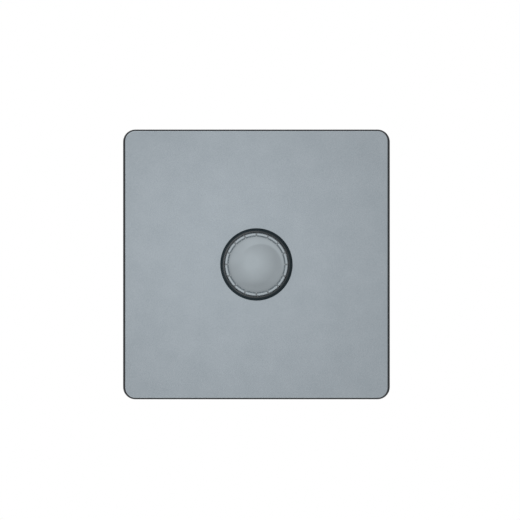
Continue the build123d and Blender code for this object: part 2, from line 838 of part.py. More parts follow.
# Wiper rotor: a disc keyed to the spindle's tang, with a journal in the case and a stop tab on its edge
with BuildPart() as wiper_rotor:
    with BuildSketch(facing(rotor_back)):
        Circle(rotor_radius)
        with Locations((0, rotor_radius + stop_tab_reach)):
            Rectangle(stop_tab_width, rotor_radius, align=(Align.CENTER, Align.MAX))
    extrude(amount=rotor_thickness)
    with BuildSketch(facing(shoulder_back)):
        Circle(rotor_shoulder_radius)
    extrude(amount=rotor_shoulder)
    with BuildSketch(facing(pot_back)):
        Circle(rotor_journal_radius)
    extrude(amount=shoulder_back - pot_back)
    with BuildSketch(facing(pot_back)):
        Circle(spindle_bore_radius)
        Rectangle(2 * spindle_bore_radius, tang_width + 2 * spindle_clearance, mode=Mode.INTERSECT)
    extrude(amount=rotor_front - pot_back, mode=Mode.SUBTRACT)

# Wiper contact: a sprung ring on the rotor, with two fingers that reach the track
with BuildPart() as wiper_contact:
    with BuildSketch(facing(rotor_front)):
        Circle(wiper_inner_radius + wiper_width)
        Circle(wiper_inner_radius, mode=Mode.SUBTRACT)
    extrude(amount=wiper_thickness)
    finger_radius = wiper_inner_radius + wiper_width / 2
    finger_foot = rotor_front + wiper_thickness / 2
    finger_tip = track_back - contact_gap
    for finger_x in (-finger_radius, finger_radius):
        with BuildSketch(upright(finger_x)):
            with BuildLine():
                Polyline(
                    (-wiper_width / 2, finger_foot),
                    (wiper_width / 2, finger_foot),
                    (finger_run + wiper_width / 2, finger_tip),
                    (finger_run - wiper_width / 2, finger_tip),
                    close=True,
                )
            make_face()
        extrude(amount=wiper_thickness, both=True)

# Switch case: a square cup behind the potentiometer, with a round bore and a keyway for the plunger
with BuildPart() as switch_case:
    plunger_bore_radius = plunger_radius + plunger_clearance
    keyway_reach = plunger_bore_radius + plunger_key_reach
    with BuildSketch(facing(switch_back)):
        RectangleRounded(switch_width, switch_width, switch_corner_radius)
    extrude(amount=pot_back - switch_back)
    with BuildSketch(facing(switch_floor)):
        Circle(plunger_bore_radius)
        Rectangle(
            plunger_key_width + 2 * plunger_clearance, keyway_reach, align=(Align.CENTER, Align.MIN)
        )
    extrude(amount=pot_back - switch_floor, mode=Mode.SUBTRACT)
    with BuildSketch(facing(switch_back)):
        with Locations(*contact_places):
            Rectangle(lead_width + lead_clearance, lead_width + lead_clearance)
    extrude(amount=switch_wall, mode=Mode.SUBTRACT)

# Switch plunger: a keyed disc that the spindle pushes
with BuildPart() as switch_plunger:
    with BuildSketch(facing(plunger_back)):
        Circle(plunger_radius)
        Rectangle(plunger_key_width, plunger_radius + plunger_key_reach, align=(Align.CENTER, Align.MIN))
    extrude(amount=plunger_thickness)

# Moving contact: the bridging ring on the plunger's back
with BuildPart() as moving_contact:
    with BuildSketch(facing(contact_back)):
        Circle(contact_radius)
        Circle(contact_radius - contact_width, mode=Mode.SUBTRACT)
    extrude(amount=contact_thickness)

# Fixed contacts: two pins that the moving contact bridges at the end of its travel
with BuildPart() as fixed_contacts:
    add_straight_leads(contact_places, contact_back - push_travel - contact_gap)

# Return spring: a bowed leaf whose feet stand in the switch case and whose crown lifts the plunger
with BuildPart() as return_spring:
    foot_height = switch_floor + contact_gap
    crown_height = plunger_back - contact_gap
    with BuildSketch(upright()):
        with BuildLine():
            ThreePointArc((-spring_reach, foot_height), (0, crown_height), (spring_reach, foot_height))
            Line((spring_reach, foot_height), (spring_reach - spring_thickness, foot_height))
            ThreePointArc(
                (spring_reach - spring_thickness, foot_height),
                (0, crown_height - spring_thickness),
                (spring_thickness - spring_reach, foot_height),
            )
            Line((spring_thickness - spring_reach, foot_height), (-spring_reach, foot_height))
        make_face()
    extrude(amount=spring_width / 2, both=True)

# Circuit board, with holes for every lead and a notch round the housing's boss
with BuildPart() as circuit_board:
    lead_places = pot_pin_places + contact_places + triac_lead_places
    lead_places += capacitor_lead_places + choke_lead_places
    lead_places += axial_lead_places(0, fuse_z, fuse_length)
    for lying_z in resistor_places:
        lead_places += axial_lead_places(resistor_x, lying_z, resistor_length)
    with BuildSketch(facing(board_back)):
        with Locations((0, board_middle)):
            Rectangle(2 * board_half_width, board_top - board_bottom)
        fillet(vertices(), housing_corner_radius - housing_wall)
        with Locations(*boss_places):
            Circle(boss_radius + board_clearance, mode=Mode.SUBTRACT)
        with Locations(*lead_places):
            Rectangle(lead_width + lead_clearance, lead_width + lead_clearance, mode=Mode.SUBTRACT)
        for tag_x in terminal_places:
            with Locations((tag_x, tag_end - tag_thickness / 2)):
                Rectangle(tag_width + lead_clearance, tag_thickness + lead_clearance, mode=Mode.SUBTRACT)
    extrude(amount=board_thickness)

# Terminals: brass blocks with a blind wire bore, a tapped hole for the clamp screw and a tag to the board
with BuildPart() as terminals:
    for block_x in terminal_places:
        with BuildSketch(facing(housing_floor)):
            with Locations((block_x, terminal_middle)):
                RectangleRounded(terminal_width, terminal_height, terminal_corner_radius)
        extrude(amount=terminal_depth)
        with BuildSketch(Plane.XY.offset(terminal_bottom)):
            with Locations((block_x, -wire_bore_height)):
                Circle(wire_bore_radius)
        extrude(amount=terminal_height - wire_stop, mode=Mode.SUBTRACT)
        with BuildSketch(facing(housing_floor)):
            with Locations((block_x, terminal_middle)):
                Circle(clamp_screw_radius + clamp_screw_clearance)
        extrude(amount=wire_bore_height - housing_floor, mode=Mode.SUBTRACT)
        with BuildSketch(upright(block_x)):
            with BuildLine():
                Polyline(
                    (terminal_top - wire_stop / 2, board_front + lead_clearance),
                    (terminal_top - wire_stop / 2, board_front + lead_clearance + tag_thickness),
                    (tag_end, board_front + lead_clearance + tag_thickness),
                    (tag_end, lead_end),
                    (tag_end - tag_thickness, lead_end),
                    (tag_end - tag_thickness, board_front + lead_clearance),
                    close=True,
                )
            make_face()
        extrude(amount=tag_width / 2, both=True)

# Clamp screws of the three terminals, reached from the back of the housing
with BuildPart() as terminal_screws:
    clamp_tip = wire_bore_height - wire_bore_radius - clamp_screw_lift
    clamp_end = housing_back + clamp_screw_recess
    for clamp_x in terminal_places:
        with BuildSketch(facing(clamp_end)):
            with Locations((clamp_x, terminal_middle)):
                Circle(clamp_screw_radius)
        extrude(amount=clamp_tip - clamp_end)
        with BuildSketch(facing(clamp_end)):
            with Locations((clamp_x, terminal_middle)):
                Rectangle(2 * clamp_screw_radius, clamp_slot_width)
        extrude(amount=clamp_slot_depth, mode=Mode.SUBTRACT)

# Earth terminal: a brass block riveted to the back of the grid
with BuildPart() as earth_terminal:
    with BuildSketch(facing(-earth_depth)):
        with Locations((0, earth_middle)):
            RectangleRounded(earth_width, earth_height, terminal_corner_radius)
    extrude(amount=earth_depth)
    with BuildSketch(facing(0)):
        with Locations((0, earth_middle)):
            Circle(earth_rivet_radius)
    extrude(amount=grid_thickness)
    with BuildSketch(Plane.YZ.offset(-earth_width / 2)):
        with Locations((-earth_bore_height, earth_middle)):
            Circle(wire_bore_radius)
    extrude(amount=earth_width, mode=Mode.SUBTRACT)
    with BuildSketch(facing(-earth_depth)):
        with Locations((0, earth_middle)):
            Circle(clamp_screw_radius + clamp_screw_clearance)
    extrude(amount=earth_depth + earth_bore_height, mode=Mode.SUBTRACT)

# Clamp screw of the earth terminal
with BuildPart() as earth_screw:
    earth_screw_tip = earth_bore_height - wire_bore_radius - clamp_screw_lift
    with BuildSketch(facing(earth_screw_tip - earth_screw_length)):
        with Locations((0, earth_middle)):
            Circle(clamp_screw_radius)
    extrude(amount=earth_screw_length)
    with BuildSketch(facing(earth_screw_tip - earth_screw_length)):
        with Locations((0, earth_middle)):
            Rectangle(2 * clamp_screw_radius, clamp_slot_width)
    extrude(amount=clamp_slot_depth, mode=Mode.SUBTRACT)

# Choke: a ring core inside its winding, which stands on the circuit board
with BuildPart() as choke_core:
    with BuildSketch(facing(choke_back)):
        with Locations((choke_x, choke_z)):
            Circle(choke_radius)
            Circle(choke_hole_radius, mode=Mode.SUBTRACT)
    extrude(amount=choke_depth)

with BuildPart() as choke_winding:
    with BuildSketch(turning(choke_x, choke_z)):
        with BuildLine():
            Polyline(
                (choke_hole_radius - winding_thickness, board_front),
                (wound_radius, board_front),
                (wound_radius, wound_front),
                (choke_hole_radius - winding_thickness, wound_front),
                close=True,
            )
        make_face()
        with BuildLine():
            Polyline(
                (choke_hole_radius - winding_clearance, choke_back - winding_clearance),
                (choke_radius + winding_clearance, choke_back - winding_clearance),
                (choke_radius + winding_clearance, choke_back + choke_depth + winding_clearance),
                (choke_hole_radius - winding_clearance, choke_back + choke_depth + winding_clearance),
                close=True,
            )
        make_face(mode=Mode.SUBTRACT)
    revolve(axis=turning_axis(choke_x, choke_z), revolution_arc=winding_angle)

# Capacitor: a rounded block with two leads
with BuildPart() as capacitor:
    with BuildSketch(facing(board_front)):
        with Locations((capacitor_x, capacitor_z)):
            RectangleRounded(capacitor_width, capacitor_length, capacitor_corner_radius)
    extrude(amount=capacitor_depth)
    add_straight_leads(capacitor_lead_places, board_front)

# Resistors, lying side by side on the circuit board
with BuildPart() as resistors:
    for lying_z in resistor_places:
        add_axial_component(resistor_x, lying_z, resistor_length, resistor_radius)

# Fuse, lying at the top of the circuit board
with BuildPart() as fuse:
    add_axial_component(0, fuse_z, fuse_length, fuse_radius)

# Triac: a moulded body on a metal tab, with three leads bent back to the circuit board
with BuildPart() as triac:
    with BuildSketch(facing(triac_tab_back)):
        with Locations((triac_x, triac_top)):
            Rectangle(triac_width, triac_tab_length + triac_length, align=(Align.CENTER, Align.MAX))
        with Locations((triac_x, triac_hole_z)):
            Circle(triac_hole_radius, mode=Mode.SUBTRACT)
    extrude(amount=triac_tab_thickness)
    with BuildSketch(facing(triac_back)):
        with Locations((triac_x, triac_bottom)):
            Rectangle(triac_width, triac_length, align=(Align.CENTER, Align.MIN))
    extrude(amount=triac_depth)
    triac_lead_height = (triac_tab_back + triac_back) / 2
    for triac_lead_x, lead_z in triac_lead_places:
        with BuildSketch(upright(triac_lead_x)):
            with BuildLine():
                Polyline(
                    (triac_bottom, triac_lead_height + lead_width / 2),
                    (lead_z - lead_width / 2, triac_lead_height + lead_width / 2),
                    (lead_z - lead_width / 2, lead_end),
                    (lead_z + lead_width / 2, lead_end),
                    (lead_z + lead_width / 2, triac_lead_height - lead_width / 2),
                    (triac_bottom, triac_lead_height - lead_width / 2),
                    close=True,
                )
            make_face()
        extrude(amount=lead_width / 2, both=True)

# Insulating pad between the triac and the heat sink
with BuildPart() as insulating_pad:
    with BuildSketch(facing(pad_back)):
        with Locations((triac_x, triac_top)):
            Rectangle(triac_width, triac_tab_length + triac_length, align=(Align.CENTER, Align.MAX))
        with Locations((triac_x, triac_hole_z)):
            Circle(triac_hole_radius, mode=Mode.SUBTRACT)
    extrude(amount=pad_thickness)

# Triac screw, threaded into the heat sink
with BuildPart() as triac_screw:
    with BuildSketch(facing(triac_tab_back - triac_head_height)):
        with Locations((triac_x, triac_hole_z)):
            Circle(triac_head_radius)
    extrude(amount=triac_head_height)
    with BuildSketch(facing(triac_tab_back)):
        with Locations((triac_x, triac_hole_z)):
            Circle(triac_screw_radius)
    extrude(amount=-triac_tab_back)

# One file for each piece
pieces = {
    "front_plate": front_plate,
    "backing_frame": backing_frame,
    "collar": collar,
    "mounting_grid": mounting_grid,
    "fixing_screws": fixing_screws,
    "spindle_bush": spindle_bush,
    "lock_washer": lock_washer,
    "bush_nut": bush_nut,
    "heat_sink": heat_sink,
    "housing": housing,
    "housing_screws": housing_screws,
    "knob_cap": knob_cap,
    "knob_core": knob_core,
    "knob_spring": knob_spring,
    "spindle": spindle,
    "retaining_ring": retaining_ring,
    "pot_case": pot_case,
    "track_disc": track_disc,
    "pot_pins": pot_pins,
    "wiper_rotor": wiper_rotor,
    "wiper_contact": wiper_contact,
    "switch_case": switch_case,
    "switch_plunger": switch_plunger,
    "moving_contact": moving_contact,
    "fixed_contacts": fixed_contacts,
    "return_spring": return_spring,
    "circuit_board": circuit_board,
    "terminals": terminals,
    "terminal_screws": terminal_screws,
    "earth_terminal": earth_terminal,
    "earth_screw": earth_screw,
    "choke_core": choke_core,
    "choke_winding": choke_winding,
    "capacitor": capacitor,
    "resistors": resistors,
    "fuse": fuse,
    "triac": triac,
    "insulating_pad": insulating_pad,
    "triac_screw": triac_screw,
}
os.makedirs("parts", exist_ok=True)
for piece_name, piece in pieces.items():
    piece.part.label = piece_name
    export_step(piece.part, f"parts/{piece_name}.step")
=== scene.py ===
"""Looks of a push-and-turn dimmer on a flat steel wall plate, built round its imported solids.

X runs to the right, Y into the wall and Z up, with the origin at the plate's centre on the wall's face.
Sizes are in millimetres unless they say otherwise, and a height is measured from the wall's face towards
the room, so a point's Y is minus its height.
"""

import logging
import math
from dataclasses import dataclass, field
from enum import Enum
from typing import NamedTuple

import bpy
import numpy as np
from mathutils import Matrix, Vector


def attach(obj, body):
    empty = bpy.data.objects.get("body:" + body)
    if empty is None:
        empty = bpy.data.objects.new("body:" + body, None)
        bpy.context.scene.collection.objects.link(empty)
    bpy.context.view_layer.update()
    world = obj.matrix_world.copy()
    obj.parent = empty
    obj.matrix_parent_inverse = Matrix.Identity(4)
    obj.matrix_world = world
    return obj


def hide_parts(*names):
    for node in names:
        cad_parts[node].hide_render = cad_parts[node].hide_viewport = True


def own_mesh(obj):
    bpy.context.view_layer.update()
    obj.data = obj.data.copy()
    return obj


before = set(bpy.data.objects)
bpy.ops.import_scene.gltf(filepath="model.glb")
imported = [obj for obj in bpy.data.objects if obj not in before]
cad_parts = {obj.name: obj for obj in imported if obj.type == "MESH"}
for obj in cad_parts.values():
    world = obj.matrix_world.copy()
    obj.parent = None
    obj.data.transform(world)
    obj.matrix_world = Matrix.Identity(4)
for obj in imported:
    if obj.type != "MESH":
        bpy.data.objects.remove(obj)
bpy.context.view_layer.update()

log = logging.getLogger("dimmer_plate")

MM = 0.001  # in metres
NEAR = 1e-6  # lengths that differ by less are taken as the same
QUARTER_TURN = math.pi / 2
SMOOTH_ANGLE = math.radians(32)  # edges that turn by more than this stay crisp
WHITE = (1.0, 1.0, 1.0, 1.0)

Pair = tuple[float, float]
Triple = tuple[float, float, float]
Socket = bpy.types.NodeSocket


class Body(Enum):
    """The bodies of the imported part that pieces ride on."""

    BASE = "base"
    KNOB = "knob"


class Ends(Enum):
    """How the first and the last row of a surface are closed."""

    JOINED = "joined"
    CAPPED = "capped"


class Mask(Enum):
    """What a value on each point says of the surface there, from 0 to 1."""

    EDGE = "edge"
    # painted shade in the knob's groove, on its flute floors, along its dome's edge and on screw slot floors
    PAINTED_SHADE = "painted_shade"
    SHEEN = "sheen"


class Facing(Enum):
    """Which way the head of a screw looks, as the sign of its height."""

    ROOM = 1
    WALL = -1


# Surfaces


@dataclass
class Surface:
    """A closed surface on a grid whose columns run round it."""

    rows: np.ndarray  # points as an array (row, column, 3) of X, height and Z
    ends: Ends  # how the first and last rows are closed
    masks: dict[Mask, np.ndarray] = field(default_factory=dict)  # values that spread over (row, column)

    def points(self) -> np.ndarray:
        """Place the surface's points, with the centres of its two caps last if its ends are capped.

        Returns:
            Points in metres as an array (n, 3) of X, minus height and Z.
        """
        flat = self.rows.reshape(-1, 3)
        if self.ends is Ends.CAPPED:
            flat = np.concatenate([flat, self.rows[:1].mean(axis=1), self.rows[-1:].mean(axis=1)])
        return flat * np.array([MM, -MM, MM])

    def mask_values(self, mask: Mask) -> np.ndarray:
        """Spread a mask over the surface's points.

        Args:
            mask: the mask

        Returns:
            Its values in the order of the points, 0 where the surface has none.
        """
        values = np.broadcast_to(self.masks.get(mask, np.zeros((1, 1))), self.rows.shape[:2])
        centres = [0.0, 0.0] if self.ends is Ends.CAPPED else []
        return np.concatenate([values.ravel(), centres])

    def faces(self) -> tuple[np.ndarray, np.ndarray]:
        """Quads between neighbouring rows and columns, and triangles from each end row to its centre.

        A quad joins (i, j), (i, j + 1), (i + 1, j + 1) and (i + 1, j), with columns counted round and, on a
        joined surface, rows too. The sign of the enclosed volume, a sum of triple products, tells whether
        they face outwards.

        Returns:
            The quads and the triangles as arrays of point numbers, turned so that they face outwards.
        """
        count, columns = self.rows.shape[:2]
        joined = self.ends is Ends.JOINED
        row = np.arange(count if joined else count - 1)[:, None]
        column = np.arange(columns)[None, :]
        below, beside = (row + 1) % count, (column + 1) % columns
        corners = [(row, column), (row, beside), (below, beside), (below, column)]
        quads = np.stack([i * columns + j for i, j in corners], axis=-1).reshape(-1, 4)
        triangles = np.zeros((0, 3), int)
        if not joined:
            ring = np.arange(columns)
            turn = np.roll(ring, -1)
            last, pole = (count - 1) * columns, count * columns
            front = np.stack([turn, ring, np.full(columns, pole)], axis=1)
            back = np.stack([last + ring, last + turn, np.full(columns, pole + 1)], axis=1)
            triangles = np.concatenate([front, back])
        halves = np.concatenate([quads[:, [0, 1, 2]], quads[:, [0, 2, 3]], triangles])
        first, second, third = np.moveaxis(self.points()[halves], 1, 0)
        if np.einsum("ij,ij->", first, np.cross(second, third)) < 0:
            return quads[:, ::-1], triangles[:, ::-1]
        return quads, triangles


def spread(start: float, end: float, count: int) -> np.ndarray:
    """Evenly spread values from start to end."""
    return np.linspace(start, end, count)


GUARD = 0.2  # distance of a guard point from its arc
GUARD_SHARE = 0.4  # the most of the straight run between two arcs that it may take


def rounded_path(
    corners: list[Pair], radii: list[float], steps: int = 5, closed: bool = True
) -> tuple[np.ndarray, np.ndarray]:
    """Round the corners of a path of straight runs.

    With u and v the directions from a corner to its neighbours and b half the angle between them, the arc of
    radius r begins r / tan b along u, ends as far along v, and has its centre r / sin b along the bisector.
    Points on it are the spherical blend of its two end radii. One guard point on each side of it keeps the
    runs flat when they are shaded.

    Args:
        corners: the corners in order; on an open path the first and last are its ends
        radii: a radius for each rounded corner
        steps: straight steps in each arc
        closed: whether the path closes on itself

    Returns:
        The points as an array (n, 2), steps + 3 for each rounded corner, and their edge wear, which is 1 in
        the middle of an arc and 0 on the runs.
    """
    path = np.array(corners, float)
    before, after = (np.roll(path, 1, 0), np.roll(path, -1, 0)) if closed else (path[:-2], path[2:])
    middle = path if closed else path[1:-1]
    radius = np.array(radii, float)[:, None]
    back, ahead = before - middle, after - middle
    back_length, ahead_length = (np.linalg.norm(v, axis=1, keepdims=True) for v in (back, ahead))
    back, ahead = back / back_length, ahead / ahead_length
    half = np.arccos(np.clip((back * ahead).sum(1, keepdims=True), -1, 1)) / 2
    reach = radius / np.tan(half)
    bisector = (back + ahead) / np.linalg.norm(back + ahead, axis=1, keepdims=True)
    centre = middle + bisector * radius / np.sin(half)
    start, end = middle + back * reach - centre, middle + ahead * reach - centre
    swing = (math.pi - 2 * half)[:, None]
    share = spread(0, 1, steps + 1)[None, :, None]
    blend = np.sin((1 - share) * swing) * start[:, None] + np.sin(share * swing) * end[:, None]
    arcs = centre[:, None] + blend / np.sin(swing)
    other_back = np.roll(reach, 1, 0) if closed else np.concatenate([reach[:1] * 0, reach[:-1]])
    other_ahead = np.roll(reach, -1, 0) if closed else np.concatenate([reach[1:], reach[:1] * 0])
    guard_back = np.minimum(GUARD, GUARD_SHARE * (back_length - reach - other_back))
    guard_ahead = np.minimum(GUARD, GUARD_SHARE * (ahead_length - reach - other_ahead))
    first = (middle + back * (reach + guard_back))[:, None]
    last = (middle + ahead * (reach + guard_ahead))[:, None]
    points = np.concatenate([first, arcs, last], axis=1).reshape(-1, 2)
    bulge = np.concatenate([[0.0], np.sin(math.pi * share.ravel()), [0.0]])
    wear = np.tile(bulge, len(middle))
    if not closed:
        points = np.concatenate([path[:1], points, path[-1:]])
        wear = np.concatenate([[0.0], wear, [0.0]])
    return points, wear


def rounded_rectangle(
    width: float, height: float, radius: float, side_steps: int, arc_steps: int
) -> np.ndarray:
    """Outline of a rectangle with round corners.

    Each corner is centre + radius * (cos a, sin a) over a quarter turn, and straight steps lead to the next.

    Args:
        width: full width
        height: full height
        radius: corner radius
        side_steps: steps along each straight side
        arc_steps: steps in each corner

    Returns:
        The outline as an array (n, 2).
    """
    signs = np.array([(1, 1), (-1, 1), (-1, -1), (1, -1)], float)
    centres = signs * np.array([width / 2 - radius, height / 2 - radius])
    angle = QUARTER_TURN * (np.arange(4)[:, None] + spread(0, 1, arc_steps + 1)[None, :])
    arcs = centres[:, None] + radius * np.stack([np.cos(angle), np.sin(angle)], axis=-1)
    share = spread(0, 1, side_steps + 1)[None, 1:-1, None]
    ends, starts = arcs[:, -1:], np.roll(arcs[:, :1], -1, axis=0)
    return np.concatenate([arcs, ends + share * (starts - ends)], axis=1).reshape(-1, 2)


def turned(radius: np.ndarray, height: np.ndarray, angle: np.ndarray) -> np.ndarray:
    """Turn a profile about the axis square to the wall: x = r cos a and z = r sin a at each height.

    Args:
        radius: radius for each row, or for each row and column
        height: height for each row, or for each row and column
        angle: angle of each column in radians

    Returns:
        Points as an array (row, column, 3).
    """
    radius, height = (v[:, None] if v.ndim == 1 else v for v in (radius, height))
    radius, height, angle = np.broadcast_arrays(radius, height, angle[None, :])
    return np.stack([radius * np.cos(angle), height, radius * np.sin(angle)], axis=-1)


def full_turn(count: int) -> np.ndarray:
    """Even angles round a full turn, the last a step before the first."""
    return spread(0, 2 * math.pi, count + 1)[:-1]


def tube(path: np.ndarray, radius: float, sides: int) -> np.ndarray:
    """Carry a circle along a path.

    At each point the circle lies in the plane square to the path's direction: its two axes are the cross
    product of that direction and the path's outward direction, and the cross product of those two.

    Args:
        path: points of the middle line, with the outward direction of each point, as an array (n, 2, 3)
        radius: radius of the tube
        sides: points round the tube

    Returns:
        Points as an array (n, sides, 3).
    """
    centre, outward = path[:, 0], path[:, 1]
    along = np.gradient(centre, axis=0)
    along /= np.linalg.norm(along, axis=1, keepdims=True)
    side = np.cross(along, outward)
    side /= np.linalg.norm(side, axis=1, keepdims=True)
    up = np.cross(side, along)
    angle = full_turn(sides)[None, :, None]
    return centre[:, None] + radius * (np.cos(angle) * side[:, None] + np.sin(angle) * up[:, None])


def moved(
    rows: np.ndarray, x: float, z: float, lift: float, facing: Facing = Facing.ROOM
) -> np.ndarray:
    """Place rows made about the origin: turned to face the room or the wall, then lifted and shifted."""
    return rows * np.array([1, facing.value, 1]) + np.array([x, lift, z])


def placed(name: str, data: bpy.types.ID) -> bpy.types.Object:
    """Put a mesh, a light or a camera into the scene.

    Args:
        name: name of the object
        data: what it shows

    Returns:
        The new object, at the origin.
    """
    made = bpy.data.objects.new(name, data)
    bpy.context.scene.collection.objects.link(made)
    return made


def add_piece(
    name: str, surfaces: list[Surface], body: Body, finish: "Finish", replaced: tuple[str, ...]
) -> bpy.types.Object:
    """Make one piece of the object from closed surfaces.

    Args:
        name: name of the piece
        surfaces: its surfaces
        body: body that it rides on
        finish: its finish
        replaced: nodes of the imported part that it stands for

    Returns:
        The new object, at the origin.
    """
    points, faces, start = [], [], 0
    for surface in surfaces:
        quads, triangles = surface.faces()
        points.append(surface.points())
        faces += (quads + start).tolist() + (triangles + start).tolist()
        start += len(points[-1])
    mesh = bpy.data.meshes.new(name)
    mesh.from_pydata(np.concatenate(points).tolist(), [], faces)
    for mask in Mask:
        if any(mask in surface.masks for surface in surfaces):
            values = np.concatenate([surface.mask_values(mask) for surface in surfaces]).astype(np.float32)
            mesh.attributes.new(mask.value, "FLOAT", "POINT").data.foreach_set("value", values)
    mesh.shade_smooth()
    mesh.set_sharp_from_angle(angle=SMOOTH_ANGLE)
    mesh.validate()
    piece = placed(name, mesh)
    mesh.materials.append(finish.material())
    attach(piece, body.value)
    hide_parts(*replaced)
    log.info("%s: %d faces on %s", name, len(mesh.polygons), body.value)
    return piece


# Finishes


class NodeTree:
    """Adds nodes to a shader tree and joins them."""

    def __init__(self, tree: bpy.types.NodeTree) -> None:
        """Start on a tree."""
        self.tree = tree

    @classmethod
    def emptied(cls, owner: bpy.types.Light | bpy.types.World | bpy.types.Material) -> "NodeTree":
        """Start on the tree of a light, a world or a material, cleared of the nodes that it comes with.

        Args:
            owner: the light, world or material

        Returns:
            The tree.
        """
        owner.use_nodes = True
        owner.node_tree.nodes.clear()
        return cls(owner.node_tree)

    def add(self, kind: str, inputs: dict | None = None, **settings: object) -> bpy.types.Node:
        """Add a node.

        Args:
            kind: type of the node
            inputs: for each input, by name or number, a value or the socket that feeds it
            settings: properties of the node

        Returns:
            The node.
        """
        node = self.tree.nodes.new(kind)
        for key, value in settings.items():
            setattr(node, key, value)
        for key, value in (inputs or {}).items():
            if isinstance(value, Socket):
                self.link(value, node.inputs[key])
            else:
                node.inputs[key].default_value = value
        return node

    def link(self, value: Socket, taker: Socket) -> None:
        """Feed a value to the socket that takes it."""
        self.tree.links.new(value, taker)

    def group(self, tree: bpy.types.NodeTree, inputs: dict) -> Socket:
        """Add a node group with its inputs, and give the socket of its result."""
        return self.add("ShaderNodeGroup", inputs, node_tree=tree).outputs[0]

    def mask(self, mask: Mask) -> Socket:
        """Read a mask of the surface, and give its socket."""
        return self.add("ShaderNodeAttribute", attribute_name=mask.value).outputs["Fac"]

    def math(self, operation: str, first: Socket | float, second: Socket | float) -> Socket:
        """Join two values by an operation, and give the socket of the result."""
        return self.add("ShaderNodeMath", {0: first, 1: second}, operation=operation).outputs[0]

    def blend(self, first: Socket, second: Socket, share: float) -> Socket:
        """Add a share of the first value to the rest of the second, and give the socket of the result."""
        parts = (self.math("MULTIPLY", first, share), self.math("MULTIPLY", second, 1 - share))
        return self.math("ADD", *parts)

    def length(self, vector: Socket) -> Socket:
        """Measure a vector, and give the socket of its length."""
        return self.add("ShaderNodeVectorMath", {0: vector}, operation="LENGTH").outputs["Value"]

    def mix(self, share: Socket, low: Socket | Triple, high: Triple) -> Socket:
        """Blend two colours, sockets 6 and 7 of the node, by a share, and give the socket of the result."""
        first = low if isinstance(low, Socket) else (*low, 1.0)
        return self.add("ShaderNodeMix", {0: share, 6: first, 7: (*high, 1.0)}, data_type="RGBA").outputs[2]

    def ramp(
        self, value: Socket, start: float, end: float, reach: Pair = (0.0, 1.0), **settings: object
    ) -> Socket:
        """Spread the values from start to end over a reach, clipped, and give the socket of the result."""
        inputs = {0: value, 1: start, 2: end, 3: reach[0], 4: reach[1]}
        return self.add("ShaderNodeMapRange", inputs, **settings).outputs[0]


def new_group(
    name: str, inputs: dict[str, tuple[str, object]], output: str
) -> tuple[NodeTree, bpy.types.Node, Socket]:
    """Start a shader node group.

    Args:
        name: name of the group
        inputs: for each input its socket type, and its first value if it has one
        output: name of its value output

    Returns:
        The group's nodes, the node that gives its inputs, and the socket that takes its output.
    """
    tree = bpy.data.node_groups.new(name, "ShaderNodeTree")
    for label, (kind, value) in inputs.items():
        socket = tree.interface.new_socket(label, in_out="INPUT", socket_type=kind)
        if value is not None:
            socket.default_value = value
    tree.interface.new_socket(output, in_out="OUTPUT", socket_type="NodeSocketFloat")
    nodes = NodeTree(tree)
    return nodes, nodes.add("NodeGroupInput"), nodes.add("NodeGroupOutput").inputs[output]


class Effects:
    """The shader node groups that the finishes share, each made once."""

    def __init__(self) -> None:
        """Make the groups."""
        self.cloud = self._noise_group("cloudy_tone", detail=3.0, roughness=0.55, span=(0.32, 0.68))
        self.grain = self._noise_group("fine_grain", detail=2.0, roughness=0.6, span=(0.25, 0.75))
        self.wear = self._wear_group(scale=900.0, span=(0.35, 0.65), least=0.25)

    def _noise_group(self, name: str, detail: float, roughness: float, span: Pair) -> bpy.types.NodeTree:
        """A group that gives noise from 0 to 1 over the surface.

        Args:
            name: name of the group
            detail: octaves of the noise
            roughness: weight of its finer octaves
            span: the noise values that become 0 and 1

        Returns:
            The group's tree.
        """
        inputs = {
            "Vector": ("NodeSocketVector", None),
            "Stretch": ("NodeSocketVector", (1, 1, 1)),
            "Scale": ("NodeSocketFloat", None),
        }
        nodes, given, taker = new_group(name, inputs, "Tone")
        factors = {0: given.outputs["Vector"], 1: given.outputs["Stretch"]}
        place = nodes.add("ShaderNodeVectorMath", factors, operation="MULTIPLY").outputs[0]
        sizes = {"Scale": given.outputs["Scale"], "Detail": detail, "Roughness": roughness}
        noise = nodes.add("ShaderNodeTexNoise", {"Vector": place, **sizes}).outputs[0]
        nodes.link(nodes.ramp(noise, *span), taker)
        return nodes.tree

    def _wear_group(self, scale: float, span: Pair, least: float) -> bpy.types.NodeTree:
        """A group that breaks up edge wear: the edge's share times noise that is spread from least to 1.

        Args:
            scale: specks per metre
            span: the noise values that leave the least and all of the wear
            least: share of the wear that is left where the noise is low

        Returns:
            The group's tree.
        """
        inputs = {
            "Vector": ("NodeSocketVector", None),
            "Edge": ("NodeSocketFloat", 0.0),
            "Scale": ("NodeSocketFloat", scale),
        }
        nodes, given, taker = new_group("edge_wear", inputs, "Wear")
        sizes = {"Vector": given.outputs["Vector"], "Scale": given.outputs["Scale"]}
        noise = nodes.add("ShaderNodeTexNoise", sizes).outputs[0]
        left = nodes.ramp(noise, *span, reach=(least, 1.0))
        nodes.link(nodes.math("MULTIPLY", given.outputs["Edge"], left), taker)
        return nodes.tree


BUMP_STRENGTH = 0.6

effects = Effects()
finished: dict[str, bpy.types.Material] = {}  # the materials made so far, by the names of their finishes


class Pattern(NamedTuple):
    """Sockets that a finish's colour is made from: place on the surface, clouds and grain."""

    place: Socket
    cloud: Socket
    grain: Socket


